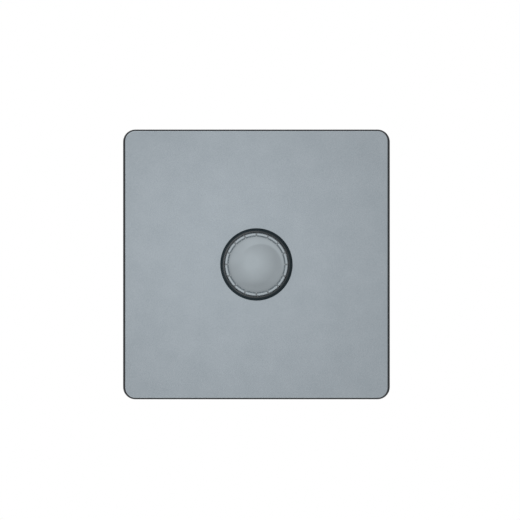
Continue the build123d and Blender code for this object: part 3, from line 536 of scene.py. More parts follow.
@dataclass(frozen=True)
class Finish:
    """A finish that is made as a material once and then shared."""

    name: str
    shade: Triple  # darker colour of its clouds
    light: Triple  # lighter colour of its clouds
    roughness: Pair  # roughness in the shade and in the light of its grain
    clouds: float  # clouds per metre
    grain: float  # grains per metre
    depth: float  # depth of the grain
    stretch: Triple = (1.0, 1.0, 1.0)  # how the clouds are drawn out along X, Y and Z
    metallic: bool = True
    grain_share: float = 0.35  # share of the grain in the colour, which the clouds make up to 1
    worn: Triple | None = None  # colour of worn edges
    painted_shade: Triple | None = None  # colour of the painted shade in hollows
    coat: float = 0.0  # weight of a clear coat
    sheen: float = 0.0  # weight of a clear coat where the surface says so
    specular: float = 0.5  # level of its plain reflection
    coat_roughness: float = 0.2

    def material(self) -> bpy.types.Material:
        """Give the finish as a material, which is made at its first use.

        Returns:
            The material.
        """
        if self.name not in finished:
            finished[self.name] = self._make()
        return finished[self.name]

    def _make(self) -> bpy.types.Material:
        """Build the material's nodes.

        The colour runs from shade to light with clouds and grain, the roughness and the relief follow the
        grain, worn edges take their own colour, and hollows take a colour of painted shade.

        Returns:
            The material.
        """
        made = bpy.data.materials.new(f"{self.name}_finish")
        made.use_nodes = True
        nodes = NodeTree(made.node_tree)
        shader = made.node_tree.nodes["Principled BSDF"]
        plain = {
            "Metallic": float(self.metallic),
            "Specular IOR Level": self.specular,
            "Coat Weight": self.coat,
            "Coat Roughness": self.coat_roughness,
        }
        for socket, value in plain.items():
            shader.inputs[socket].default_value = value
        pattern = self._pattern(nodes)
        colour = nodes.mix(self._tone(nodes, pattern), self.shade, self.light)
        if self.worn:
            wear = nodes.group(effects.wear, {"Vector": pattern.place, "Edge": nodes.mask(Mask.EDGE)})
            colour = nodes.mix(wear, colour, self.worn)
        # painted shade darkens the hollows
        if self.painted_shade:
            colour = nodes.mix(nodes.mask(Mask.PAINTED_SHADE), colour, self.painted_shade)
        relief = {"Height": pattern.grain, "Strength": BUMP_STRENGTH, "Distance": self.depth * MM}
        linked = {
            "Base Color": colour,
            "Roughness": nodes.ramp(pattern.grain, 0.0, 1.0, self.roughness),
            "Normal": nodes.add("ShaderNodeBump", relief).outputs[0],
        }
        if self.sheen:
            linked["Coat Weight"] = nodes.math("MULTIPLY", nodes.mask(Mask.SHEEN), self.sheen)
        for socket, value in linked.items():
            nodes.link(value, shader.inputs[socket])
        return made

    def _pattern(self, nodes: NodeTree) -> Pattern:
        """Add the nodes that the colour is made from.

        Args:
            nodes: the material's nodes

        Returns:
            The sockets of the place, the clouds and the grain.
        """
        place = nodes.add("ShaderNodeTexCoord").outputs["Object"]
        clouds = {"Vector": place, "Stretch": self.stretch, "Scale": self.clouds}
        grains = {"Vector": place, "Scale": self.grain}
        return Pattern(place, nodes.group(effects.cloud, clouds), nodes.group(effects.grain, grains))

    def _tone(self, nodes: NodeTree, pattern: Pattern) -> Socket:
        """Where the colour stands between shade and light: the grain and the clouds by the grain's share."""
        return nodes.blend(pattern.grain, pattern.cloud, self.grain_share)


@dataclass(frozen=True)
class TurnedFinish(Finish):
    """Metal with the fine rings that turning leaves about the knob's axis."""

    rings: float = 2200.0  # rings per metre of radius
    ring_share: float = 0.3
    ring_waver: float = 0.6  # how far the rings waver
    ring_detail: float = 2.0  # octaves of their wavering

    def _tone(self, nodes: NodeTree, pattern: Pattern) -> Socket:
        """Lay the turning rings over the clouds and the grain, by the rings' share.

        Args:
            nodes: the material's nodes
            pattern: the sockets that the colour is made from

        Returns:
            The socket with the place between shade and light.
        """
        sizes = {"Scale": self.rings, "Distortion": self.ring_waver, "Detail": self.ring_detail}
        settings = {"wave_type": "RINGS", "rings_direction": "Y"}
        wave = nodes.add("ShaderNodeTexWave", {"Vector": pattern.place, **sizes}, **settings)
        return nodes.blend(wave.outputs["Fac"], super()._tone(nodes, pattern), self.ring_share)


@dataclass(frozen=True)
class WovenFinish(Finish):
    """Laminate whose glass cloth shows through as a fine square weave."""

    threads: float = 1200.0  # threads per metre
    weave_share: float = 0.5

    def _tone(self, nodes: NodeTree, pattern: Pattern) -> Socket:
        """Soften a weave, the product of two sets of bands across each other, by the clouds.

        Args:
            nodes: the material's nodes
            pattern: the sockets that the colour is made from

        Returns:
            The socket with the place between shade and light.
        """
        sizes = {"Vector": pattern.place, "Scale": self.threads}
        waves = [nodes.add("ShaderNodeTexWave", sizes, bands_direction=way) for way in ("X", "Z")]
        weave = nodes.math("MULTIPLY", *(wave.outputs["Fac"] for wave in waves))
        return nodes.blend(weave, pattern.cloud, self.weave_share)


SATIN_STEEL = Finish(
    "satin_steel", (0.247, 0.282, 0.308), (0.315, 0.351, 0.379), (0.18, 0.24), 130.0, 3200.0, 0.003,
    grain_share=0.75, worn=(0.31, 0.344, 0.373),
)
# its darkest colour is painted shade in the groove, on the flute floors and along the dome's edge
KNOB_METAL = TurnedFinish(
    "knob_metal", (0.265, 0.298, 0.318), (0.285, 0.319, 0.34), (0.05, 0.07), 220.0, 5000.0, 0.0003,
    worn=(0.325, 0.356, 0.373), painted_shade=(0.18, 0.2, 0.212),
)
BLACK_PLASTIC = Finish(
    "black_plastic", (0.01, 0.013, 0.016), (0.016, 0.019, 0.022), (0.36, 0.46), 260.0, 2600.0, 0.01,
    metallic=False, worn=(0.03, 0.031, 0.033), specular=0.3,
)
COLLAR_PLASTIC = Finish(
    "collar_plastic", (0.01, 0.0175, 0.022), (0.015, 0.0225, 0.027), (0.5, 0.6), 260.0, 2600.0, 0.01,
    metallic=False, sheen=0.73, specular=0.05, coat_roughness=0.22,
)
HOUSING_PLASTIC = Finish(
    "housing_plastic", (0.014, 0.014, 0.015), (0.026, 0.026, 0.027), (0.5, 0.66), 200.0, 1900.0, 0.02,
    metallic=False,
)
ZINC_STEEL = Finish(
    "zinc_steel", (0.45, 0.462, 0.475), (0.58, 0.592, 0.6), (0.24, 0.34), 900.0, 2400.0, 0.002,
    stretch=(1, 1, 0.08),
)
# its darkest colour is painted shade on the slot floors
SCREW_STEEL = Finish(
    "screw_steel", (0.5, 0.5, 0.49), (0.61, 0.605, 0.59), (0.22, 0.3), 500.0, 3000.0, 0.001,
    grain_share=0.2, worn=(0.7, 0.69, 0.67), painted_shade=(0.1, 0.1, 0.095),
)
NICKEL_BRASS = Finish(
    "nickel_brass", (0.52, 0.5, 0.44), (0.68, 0.66, 0.6), (0.2, 0.32), 400.0, 2600.0, 0.004,
)
SINK_ALUMINIUM = Finish(
    "heat_sink_aluminium", (0.5, 0.51, 0.52), (0.68, 0.69, 0.7), (0.3, 0.45), 300.0, 2600.0, 0.006,
    stretch=(6, 1, 0.2),
)
SPRING_STEEL = Finish(
    "spring_steel", (0.36, 0.36, 0.37), (0.52, 0.52, 0.53), (0.22, 0.35), 400.0, 3000.0, 0.003,
)
SPINDLE_ALUMINIUM = TurnedFinish(
    "spindle_aluminium", (0.54, 0.55, 0.56), (0.7, 0.71, 0.72), (0.25, 0.36), 400.0, 3000.0, 0.004,
)
BROWN_LAMINATE = WovenFinish(
    "brown_laminate", (0.15, 0.07, 0.03), (0.27, 0.14, 0.07), (0.45, 0.6), 300.0, 2500.0, 0.006,
    metallic=False,
)
GREEN_LAMINATE = WovenFinish(
    "green_laminate", (0.012, 0.1, 0.04), (0.03, 0.19, 0.085), (0.25, 0.38), 250.0, 2500.0, 0.004,
    metallic=False, coat=0.4,
)
TINNED_BRASS = Finish(
    "tinned_brass", (0.5, 0.49, 0.46), (0.66, 0.65, 0.62), (0.25, 0.4), 600.0, 3000.0, 0.004,
)
BRASS = Finish(
    "brass", (0.57, 0.38, 0.13), (0.69, 0.49, 0.19), (0.2, 0.3), 350.0, 2600.0, 0.002,
    stretch=(1, 4, 1), grain_share=0.2,
)
IVORY_PLASTIC = Finish(
    "ivory_plastic", (0.62, 0.57, 0.46), (0.74, 0.7, 0.6), (0.3, 0.42), 200.0, 2200.0, 0.006,
    metallic=False,
)
FERRITE = Finish(
    "ferrite", (0.03, 0.03, 0.031), (0.075, 0.074, 0.072), (0.6, 0.8), 700.0, 2600.0, 0.02,
    metallic=False,
)
COPPER = Finish(
    "copper", (0.45, 0.14, 0.05), (0.68, 0.28, 0.13), (0.2, 0.32), 500.0, 2600.0, 0.003,
    coat=0.5,
)
COMPONENT_RED = Finish(
    "component_red", (0.26, 0.03, 0.02), (0.42, 0.07, 0.04), (0.25, 0.38), 260.0, 1800.0, 0.012,
    metallic=False, coat=0.3,
)
COMPONENT_TAN = Finish(
    "component_tan", (0.4, 0.27, 0.13), (0.58, 0.43, 0.25), (0.3, 0.42), 400.0, 2200.0, 0.008,
    metallic=False, coat=0.2,
)
PAD_GREY = Finish(
    "pad_grey", (0.33, 0.33, 0.35), (0.45, 0.45, 0.47), (0.7, 0.85), 400.0, 2600.0, 0.01,
    metallic=False,
)

NODE_FINISHES: dict[Finish, tuple[str, ...]] = {
    SATIN_STEEL: ("front_plate",),
    KNOB_METAL: ("knob_cap",),
    BLACK_PLASTIC: ("backing_frame", "collar", "knob_core"),
    HOUSING_PLASTIC: ("housing", "switch_case", "triac"),
    ZINC_STEEL: ("mounting_grid", "lock_washer", "pot_case"),
    SCREW_STEEL: ("fixing_screws", "housing_screws", "terminal_screws", "earth_screw", "triac_screw"),
    NICKEL_BRASS: ("spindle_bush", "bush_nut"),
    SINK_ALUMINIUM: ("heat_sink",),
    SPRING_STEEL: ("knob_spring", "retaining_ring", "return_spring"),
    SPINDLE_ALUMINIUM: ("spindle",),
    BROWN_LAMINATE: ("track_disc",),
    GREEN_LAMINATE: ("circuit_board",),
    TINNED_BRASS: ("pot_pins", "fixed_contacts"),
    BRASS: ("wiper_contact", "moving_contact", "terminals", "earth_terminal"),
    IVORY_PLASTIC: ("wiper_rotor", "switch_plunger"),
    FERRITE: ("choke_core",),
    COPPER: ("choke_winding",),
    COMPONENT_RED: ("capacitor",),
    COMPONENT_TAN: ("resistors", "fuse"),
    PAD_GREY: ("insulating_pad",),
}


def dress_nodes() -> None:
    """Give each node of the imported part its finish."""
    for finish, names in NODE_FINISHES.items():
        for name in names:
            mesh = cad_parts[name].data
            mesh.materials.clear()
            mesh.materials.append(finish.material())
            log.info("%s: finished as %s", name, finish.name)


# Pieces


@dataclass
class SteelPlate:
    """The flat steel plate, with an eased front edge and a round hole for the collar."""

    width: float = 85.5
    height: float = 87.0
    corner: float = 3.25  # radius of its corners
    hole: float = 11.35  # radius of its hole
    back: float = 5.0  # height of its back face
    front: float = 6.5  # height of its front face
    edge: float = 0.2  # radius of its front edge
    hole_edge: float = 0.15  # radius of the hole's front edge
    guard: float = 0.25  # width of the strip along each edge that keeps the face flat when it is shaded
    edge_steps: int = 6
    front_rows: int = 7
    back_rows: int = 3
    side_steps: int = 20
    arc_steps: int = 14

    def surface(self) -> Surface:
        """The plate as one ring-shaped surface.

        Each row is a blend between a circle and the rounded rectangle: the rows climb the hole's wall, round
        its edge, cross the front face outwards, round the outer edge as a quarter circle, go down the side
        and return across the back. A run of rows gives the blend from circle to rectangle, the circle's
        growth, the rectangle's inset, the height and the edge wear.

        Returns:
            The surface.
        """
        quarter = spread(0, QUARTER_TURN, self.edge_steps + 1)
        shrink, grow = 1 - np.sin(quarter), 1 - np.cos(quarter)
        still, bulge = np.zeros(len(quarter)), np.sin(2 * quarter)
        across, home = spread(0, 1, self.front_rows), spread(1, 0, self.back_rows + 1)[:-1]
        runs = [
            (np.zeros(1), 0, 0, self.back, 0),
            (still, self.hole_edge * grow, 0, self.front - self.hole_edge * shrink, bulge),
            (across, self.hole_edge + self.guard, self.edge + self.guard, self.front, 0),
            (still + 1, 0, self.edge * shrink, self.front - self.edge * grow, bulge),
            (home, 0, 0, self.back, 0),
        ]
        table = np.concatenate([np.stack(np.broadcast_arrays(*run)) for run in runs], axis=1)
        blend, growth, inset, height, wear = table
        outline = self._outline(0.0)
        angle = np.arctan2(outline[:, 1], outline[:, 0])
        circle = np.stack([np.cos(angle), np.sin(angle)], axis=1)
        flat = ((1 - blend) * (self.hole + growth))[:, None, None] * circle
        flat = flat + blend[:, None, None] * np.stack([self._outline(value) for value in inset])
        level = np.broadcast_to(height[:, None], flat.shape[:2])
        rows = np.stack([flat[..., 0], level, flat[..., 1]], axis=-1)
        return Surface(rows, Ends.JOINED, {Mask.EDGE: wear[:, None]})

    def _outline(self, inset: float) -> np.ndarray:
        """The plate's outline drawn in by an inset, as an array (n, 2)."""
        size = (self.width - 2 * inset, self.height - 2 * inset, self.corner - inset)
        return rounded_rectangle(*size, self.side_steps, self.arc_steps)

    def build(self) -> None:
        """Make the plate."""
        add_piece("steel_plate", [self.surface()], Body.BASE, SATIN_STEEL, ("front_plate",))


@dataclass
class Collar:
    """The dark ring round the knob: a rounded flange on the steel, and a barrel with barbs behind."""

    bore: float = 10.5  # radius of the bore
    lip: float = 10.36  # radius of the bore's lip at the front
    lip_height: float = 0.5
    lip_foot: float = 0.75  # how far below the top the lip's slope meets the bore
    barrel: float = 11.25  # outer radius of the barrel
    barb: float = 11.7  # outer radius of the barbs
    flange: float = 11.8  # outer radius of the flange
    seat: float = 6.5  # height of the flange's back, on the steel
    top: float = 7.7  # height of the flange's front
    slope: float = 0.5  # how far the flange's rim stands below its front
    barb_front: float = 3.7  # height of the barbs' front
    end: float = 3.0  # height of the barrel's end
    bore_edge: float = 0.12  # radius of the lip's front edge
    flange_edge: float = 0.85  # radius of the flange's front edge
    small_edge: float = 0.04  # radius of the other edges
    edge_steps: int = 7
    sheen_from: float = 11.05  # radius where the polish of the flange begins
    sheen_to: float = 10.85  # radius from which it is full
    slit_top: float = 3.8  # height up to which the slits cut the barrel
    slit_half: float = 0.8  # half width of a slit
    slit_step: float = 0.01  # height over which the rows folded up into a slit are spread
    slits: int = 4
    columns: int = 240  # points round the ring

    def surface(self) -> Surface:
        """The ring as a closed section turned about the axis, its barrel's foot cut back in the slits.

        A point of the foot that lies in a slit moves up to the slit's top, where the section folds flat.

        Returns:
            The surface.
        """
        corners = [
            (self.lip, self.top),
            (self.lip, self.top - self.lip_height),
            (self.bore, self.top - self.lip_foot),
            (self.bore, self.end),
            (self.barrel, self.end),
            (self.barb, self.barb_front),
            (self.barrel, self.barb_front),
            (self.barrel, self.seat),
            (self.flange, self.seat),
            (self.flange, self.top - self.slope),
        ]
        radii = [self.bore_edge, *[self.small_edge] * (len(corners) - 2), self.flange_edge]
        section, wear = rounded_path(corners, radii, self.edge_steps)
        angle = full_turn(self.columns)
        period = 2 * math.pi / self.slits
        offset = (angle + period / 2) % period - period / 2
        in_slit = np.abs(offset) * self.barrel < self.slit_half
        foot = (section[:, 1] < self.slit_top)[:, None] & in_slit[None, :]
        order = np.arange(len(section))[:, None] / len(section)
        radius = np.where(foot, np.clip(section[:, :1], self.bore, self.barrel), section[:, :1])
        height = np.where(foot, self.slit_top + self.slit_step * order, section[:, 1:])
        sheen = np.clip((self.sheen_from - section[:, 0]) / (self.sheen_from - self.sheen_to), 0, 1)
        sheen = np.where(section[:, 1] > self.seat, sheen, 0.0)
        masks = {Mask.EDGE: wear[:, None], Mask.SHEEN: sheen[:, None]}
        return Surface(turned(radius, height, angle), Ends.JOINED, masks)

    def build(self) -> None:
        """Make the collar."""
        add_piece("knob_collar", [self.surface()], Body.BASE, COLLAR_PLASTIC, ("collar",))


@dataclass
class Knob:
    """The turned metal cap: a shallow dome inside a grooved rim, with narrow flutes down its side."""

    radius: float = 10.2  # outer radius
    dome: float = 8.94  # radius of the dome's edge
    top: float = 19.5  # height of the dome's middle
    rim: float = 18.7  # height of the rim
    middle: float = 0.3  # radius of the first and last rows, which close at the axis
    dome_stop: float = 0.12  # width of the flat that ends the dome at its edge
    groove_width: float = 0.48
    groove_depth: float = 0.25
    groove_rows: int = 8  # how many rows from the groove's bottom its painted shade reaches
    skirt_end: float = 5.2  # height of the skirt's end
    inner: float = 8.6  # inner radius of the skirt
    ceiling: float = 17.3  # height of the ceiling inside
    flutes: int = 16
    flute_half: float = 0.25  # half width of a flute
    flute_lip: float = 0.04  # width of the slope at a flute's sides
    flute_length: float = 8.5
    flute_run_out: float = 0.8  # length over which a flute ends
    flute_start: float = 1.0  # depth below the rim where the rows beside the flutes begin
    flute_rows: int = 12  # number of those rows
    row_guard: float = 1.2  # place of the row past the run-out, as a multiple of its length
    land_end: float = 9.98  # radius where the rim's flat ends
    taper: float = 0.38  # height of the slope outside that flat
    land_edge: float = 0.07  # radius of the edge where the flat ends
    taper_edge: float = 0.1  # radius of the edge where the slope ends
    small_edge: float = 0.05  # radius of the groove's edges
    foot_edge: float = 0.2  # radius of the skirt's edges
    edge_steps: int = 6
    edge_shade_width: float = 0.6  # width of the painted shade along the dome's edge
    edge_shade_share: float = 0.4  # strength of that painted shade
    groove_shade_share: float = 0.15  # strength of the painted shade in the groove
    dome_rows: int = 26
    floor_columns: int = 4  # columns across a flute's floor
    land_columns: int = 9  # columns between two flutes

    @property
    def flute_end(self) -> float:
        """Height where the flutes' floors end."""
        return self.rim - self.flute_length

    def profile(self) -> tuple[np.ndarray, np.ndarray]:
        """Half section of the cap, from the dome's middle over the rim and the skirt to the ceiling's middle.

        The dome is an arc through its top and its edge: with R its radius,
        height = top - R + sqrt(R * R - r * r).

        Returns:
            Points as an array (n, 2) of radius and height, and their edge wear.
        """
        rise = self.top - self.rim
        sphere = (self.dome**2 + rise**2) / (2 * rise)
        across = spread(self.middle, self.dome - self.dome_stop, self.dome_rows)
        dome = np.stack([across, self.top - sphere + np.sqrt(sphere**2 - across**2)], axis=1)
        corners = [
            tuple(dome[-1]),
            (self.dome, self.rim),
            (self.dome + self.groove_width / 2, self.rim - self.groove_depth),
            (self.dome + self.groove_width, self.rim),
            (self.land_end, self.rim),
            (self.radius, self.rim - self.taper),
            (self.radius, self.skirt_end),
            (self.inner, self.skirt_end),
            (self.inner, self.ceiling),
            (self.middle, self.ceiling),
        ]
        radii = [*[self.small_edge] * 3, self.land_edge, self.taper_edge, *[self.foot_edge] * 3]
        rest, wear = rounded_path(corners, radii, self.edge_steps, closed=False)
        wear = np.concatenate([np.zeros(len(dome)), wear[1:]])
        return self._with_flute_rows(np.concatenate([dome, rest[1:]]), wear)

    def _with_flute_rows(self, points: np.ndarray, wear: np.ndarray) -> tuple[np.ndarray, np.ndarray]:
        """Add rows to the side where the flutes run and end, so that their ends are crisp.

        Args:
            points: the half section
            wear: its edge wear

        Returns:
            The half section and its edge wear with the rows added.
        """
        beside = spread(self.rim - self.flute_start, self.flute_end, self.flute_rows)
        below = self.flute_end - self.flute_run_out * np.array([1.0, self.row_guard])
        extra = np.array([(self.radius, height) for height in (*beside, *below)])
        above = (points[:, 0] > self.radius - NEAR) & (points[:, 1] > self.flute_end)
        place = np.flatnonzero(above)[-1] + 1
        return np.insert(points, place, extra, axis=0), np.insert(wear, place, np.zeros(len(extra)))

    def angles(self) -> tuple[np.ndarray, np.ndarray]:
        """Column angles round the cap, and whether each lies on a flute's floor.

        Each flute has its floor's columns and one on each edge, and the land up to the next flute is even.

        Returns:
            The angles in radians and a mask of the floor columns.
        """
        half = math.asin(self.flute_half / self.radius)
        period = 2 * math.pi / self.flutes
        lip = half + self.flute_lip / self.radius
        floor = spread(-half, half, self.floor_columns)
        land = spread(lip, period - lip, self.land_columns + 2)
        one = np.concatenate([floor, land])
        angle = (np.arange(self.flutes)[:, None] * period + one[None, :]).ravel()
        return angle, np.tile(np.arange(len(one)) < len(floor), self.flutes)

    def surface(self) -> Surface:
        """The cap turned about its axis, with the flute columns led down a straight floor from the groove.

        On a floor column the rows between the groove's bottom and the flute's end keep the groove's radius,
        and their heights fall evenly with the length along the profile.

        Returns:
            The surface.
        """
        points, wear = self.profile()
        angle, floor = self.angles()
        end = self.flute_end
        corner_rows = self.edge_steps + 3  # as rounded_path gives them
        groove = self.dome_rows + corner_rows + corner_rows // 2  # the middle of the second corner
        on_side = points[:, 0] > self.radius - NEAR
        stop = np.flatnonzero(on_side & (np.abs(points[:, 1] - end) < NEAR))[0]
        length = np.concatenate([[0], np.cumsum(np.linalg.norm(np.diff(points, axis=0), axis=1))])
        share = (length - length[groove]) / (length[stop] - length[groove])
        cut = ((share >= 0) & (share <= 1))[:, None] & floor[None, :]
        drop = points[groove, 1] + share * (end - points[groove, 1])
        radius = np.where(cut, points[groove, 0], points[:, :1])
        height = np.where(cut, drop[:, None], points[:, 1:])
        run_out = np.abs(points[:, 1] - end + self.flute_run_out) < NEAR
        # painted shade on the flute floors and their run-out, joined by the painted shade of the dome's edge
        # and the groove
        painted_shade = np.where(cut, 1.0, run_out[:, None] & floor[None, :])
        masks = {
            Mask.EDGE: np.where(cut, 0.0, wear[:, None]),
            Mask.PAINTED_SHADE: np.maximum(painted_shade, self._edge_and_groove_shade(points, groove)[:, None]),
        }
        return Surface(turned(radius, height, angle), Ends.CAPPED, masks)

    def _edge_and_groove_shade(self, points: np.ndarray, groove: int) -> np.ndarray:
        """Painted shade along the dome's edge, growing evenly towards it, and in the groove, growing with its
        depth.

        Args:
            points: the half section
            groove: row of the groove's bottom

        Returns:
            The strength of the painted shade for each row.
        """
        rows = np.arange(len(points))
        near = np.abs(rows - groove) < self.groove_rows
        depth = np.clip((self.rim - points[:, 1]) / self.groove_depth, 0, 1) * near
        beside = np.clip((points[:, 0] - self.dome) / self.edge_shade_width + 1, 0, 1) * (points[:, 0] < self.dome)
        return np.where(rows < groove, self.edge_shade_share * beside, 0) + self.groove_shade_share * depth

    def build(self) -> None:
        """Make the cap."""
        add_piece("knob_shell", [self.surface()], Body.KNOB, KNOB_METAL, ("knob_cap",))


@dataclass
class SlottedScrew:
    """A slotted screw square to the wall."""

    x: float
    z: float
    seat: float  # height of the face that the head bears on
    facing: Facing  # which way the head looks
    head: float  # radius of the head
    head_height: float
    slot: float  # width of the slot
    slot_depth: float
    shank: float  # radius of the thread
    shank_length: float  # length of the thread
    pitch: float  # height of one turn of the thread
    slot_turn: float = 0.0  # angle of the slot from Z in degrees
    neck: Pair | None = None  # radius and length of the plain neck under the head, or nothing
    crown: float = 0.4  # how far the head's edge is drawn in at its top
    middle: float = 0.05  # radius of the first and last rows of the head's disc
    foot_edge: float = 0.08  # radius of the disc's edge on its seat
    floor_edge: float = 0.02  # radius of the disc's edge round the slot's floor
    slot_inset: float = 0.1  # how far from the disc's edge the soil in the slot ends
    overlap: float = 0.05  # how far from the disc's edge the painted shade in the slot ends
    edge_share: float = 0.6  # the most of the slot's depth that the rounding of the head's edge may take
    edge_rows: int = 6  # rows round the head's edge
    top_inset: float = 0.15  # how far inside that rounding the flat top begins
    land_wear: tuple[float, ...] = (0, 0, 0.4, 0.8, 1, 0.6, 0.2, 0)  # from the slot's floor to the top
    wall_slope: float = 0.25  # how far the slot's wall leans out, as a share of the head's inset
    arc_columns: int = 25  # points along the round side of a land
    chord_columns: int = 9  # points along its straight side
    columns: int = 48  # points round the disc and the neck
    thread_columns: int = 36  # points round the thread
    rows_per_turn: int = 9  # rows in one turn of the thread
    depth_share: float = 0.5  # depth of the thread as a share of its pitch
    flank: float = 1.3  # steepness of the thread's wave
    root_flat: float = 0.15  # how far the wave is sunk, which widens the thread's root

    def surfaces(self) -> list[Surface]:
        """Make the screw's parts in its place.

        Returns:
            The head's disc up to the slot's floor, the two lands beside the slot, the neck and the thread.
        """
        neck_radius, neck_length = self.neck or (self.shank, 0.0)
        worn = {Mask.EDGE: np.array(self.land_wear)[:, None]}
        parts = [self._disc(), *(Surface(self._land(side), Ends.CAPPED, worn) for side in (1, -1))]
        if neck_length:
            height = np.array([self.overlap, -neck_length - self.overlap])
            neck = turned(np.full(2, neck_radius), height, full_turn(self.columns))
            parts.append(Surface(neck, Ends.CAPPED))
        parts.append(Surface(self._thread(neck_length), Ends.CAPPED))
        place = (self.x, self.z, self.seat, self.facing)
        return [Surface(moved(part.rows, *place), part.ends, part.masks) for part in parts]

    def _disc(self) -> Surface:
        """Turn the head's disc, from its seat up to the slot's floor, with painted shade on that floor.

        Returns:
            The surface.
        """
        floor = self.head_height - self.slot_depth
        corners = [(self.middle, 0), (self.head, 0), (self.head, floor), (self.middle, floor)]
        disc, wear = rounded_path(corners, [self.foot_edge, self.floor_edge], closed=False)
        rows = turned(disc[:, 0], disc[:, 1], full_turn(self.columns))
        # painted shade on the slot's floor
        in_slot = (disc[:, 1] > floor - NEAR) & (disc[:, 0] < self.head - self.slot_inset)
        masks = {Mask.EDGE: wear[:, None], Mask.PAINTED_SHADE: in_slot[:, None] * 1.0}
        return Surface(rows, Ends.CAPPED, masks)

    def _levels(self) -> np.ndarray:
        """Work out the rows of a land: straight sides, then a quarter of an ellipse and the flat top.

        Returns:
            The rows as an array (n, 2) of inset and height.
        """
        floor = self.head_height - self.slot_depth - self.overlap
        quarter = spread(0, QUARTER_TURN, self.edge_rows)
        edge = min(self.crown, self.slot_depth * self.edge_share)
        inset = self.crown * (1 - np.cos(quarter))
        height = self.head_height - edge + edge * np.sin(quarter)
        top = (self.crown + self.top_inset, self.head_height)
        return np.concatenate([[(0.0, floor)], np.stack([inset, height], axis=1), [top]])

    def _land(self, side: int) -> np.ndarray:
        """One land beside the slot: a segment of a circle, drawn in towards its top.

        The segment's arc runs to where the circle meets the slot's wall at x = w, that is to the angles with
        r cos a = w, and a straight chord closes it.

        Args:
            side: 1 or -1, the side of the slot

        Returns:
            Points as an array (row, column, 3).
        """
        levels = self._levels()
        radius = (self.head - levels[:, 0])[:, None]
        wall = (self.slot / 2 + self.wall_slope * levels[:, 0])[:, None]
        reach = np.arccos(np.clip(wall / radius, -1, 1))
        angle = reach * spread(-1, 1, self.arc_columns)[None, :]
        share = spread(1, -1, self.chord_columns)[None, 1:-1]
        chord = share * radius * np.sin(reach)
        across = np.concatenate([radius * np.cos(angle), np.broadcast_to(wall, chord.shape)], axis=1) * side
        along = np.concatenate([radius * np.sin(angle), chord], axis=1)
        turn = math.radians(self.slot_turn)
        x = across * math.cos(turn) - along * math.sin(turn)
        z = across * math.sin(turn) + along * math.cos(turn)
        return np.stack([x, np.broadcast_to(levels[:, 1:], x.shape), z], axis=-1)

    def _thread(self, neck_length: float) -> np.ndarray:
        """The right-handed thread under the neck.

        The radius is the root's plus the thread's depth times a softened triangle wave of height / pitch
        minus angle / turn, and the wave runs out to the root over the last pitch at each end.

        Args:
            neck_length: length of the plain neck

        Returns:
            Points as an array (row, column, 3).
        """
        low, high = -neck_length - self.shank_length, self.overlap - neck_length
        height = spread(low, high, round((high - low) / self.pitch * self.rows_per_turn))
        angle = full_turn(self.thread_columns)
        phase = (height[:, None] / self.pitch - angle[None, :] / (2 * math.pi)) % 1.0
        wave = np.clip(self.flank * np.abs(2 * phase - 1) - self.root_flat, 0, 1)
        run_out = np.clip(np.minimum(height - low, high - height) / self.pitch, 0, 1)[:, None]
        depth = self.pitch * self.depth_share
        return turned(self.shank - depth + depth * wave * run_out, height, angle)


@dataclass
class Screws:
    """The screws that hold the plate to the wall box, the housing to its heat sink, and the wires."""

    fixing_offset: float = 30.15  # distance of the fixing screws from the middle
    boss: Pair = (19.0, 20.0)  # place of a housing screw along X and Z, with the other opposite
    terminal_pitch: float = 12.0
    terminal_z: float = -17.6
    terminal_seat: float = -21.6  # height where a terminal screw's slotted end begins
    terminal_length: float = 3.05  # length of a terminal screw's thread
    earth_z: float = 30.0
    earth_seat: float = -8.85  # height where the earth screw's slotted end begins
    earth_length: float = 3.3  # length of the earth screw's thread

    def fixing(self) -> list[SlottedScrew]:
        """Place the screws into the wall box.

        Returns:
            The two screws.
        """
        head = {"head": 3.3, "head_height": 1.9, "slot": 0.9, "slot_depth": 1.0, "crown": 0.9}
        shank = {"neck": (1.5, 1.9), "shank": 1.75, "shank_length": 23.1, "pitch": 0.6}
        place = {"z": 0.0, "seat": 1.6, "facing": Facing.ROOM}
        offsets = (-self.fixing_offset, self.fixing_offset)
        return [SlottedScrew(x=x, **place, **head, **shank) for x in offsets]

    def housing(self) -> list[SlottedScrew]:
        """Place the screws through the housing's bosses.

        Returns:
            The two screws.
        """
        head = {"head": 2.2, "head_height": 1.4, "slot": 0.7, "slot_depth": 0.9}
        shank = {"shank": 1.2, "shank_length": 21.1, "pitch": 0.5}
        place = {"seat": -21.1, "facing": Facing.WALL}
        x, z = self.boss
        return [SlottedScrew(x=side * x, z=side * z, **place, **head, **shank) for side in (-1, 1)]

    def clamps(self) -> list[SlottedScrew]:
        """The three clamp screws of the terminals."""
        size = (self.terminal_z, self.terminal_seat, self.terminal_length)
        return [self._clamp(x, *size) for x in (-self.terminal_pitch, 0.0, self.terminal_pitch)]

    def earth(self) -> list[SlottedScrew]:
        """The clamp screw of the earth terminal."""
        return [self._clamp(0.0, self.earth_z, self.earth_seat, self.earth_length)]

    def _clamp(self, x: float, z: float, seat: float, length: float) -> SlottedScrew:
        """A headless clamp screw whose slotted end looks to the wall.

        Args:
            x: place along X
            z: place along Z
            seat: height where its slotted end begins
            length: length of its thread

        Returns:
            The screw.
        """
        head = {"head": 1.75, "head_height": 1.2, "slot": 0.7, "slot_depth": 0.9, "crown": 0.25}
        shank = {"shank": 1.75, "shank_length": length, "pitch": 0.6}
        return SlottedScrew(x=x, z=z, seat=seat, facing=Facing.WALL, slot_turn=90.0, **head, **shank)

    def build(self) -> None:
        """Make the screws."""
        sets = {
            "wall_box_screws": (self.fixing(), "fixing_screws"),
            "housing_back_screws": (self.housing(), "housing_screws"),
            "wire_clamp_screws": (self.clamps(), "terminal_screws"),
            "earth_clamp_screw": (self.earth(), "earth_screw"),
        }
        for name, (screws, node) in sets.items():
            surfaces = [surface for screw in screws for surface in screw.surfaces()]
            add_piece(name, surfaces, Body.BASE, SCREW_STEEL, (node,))


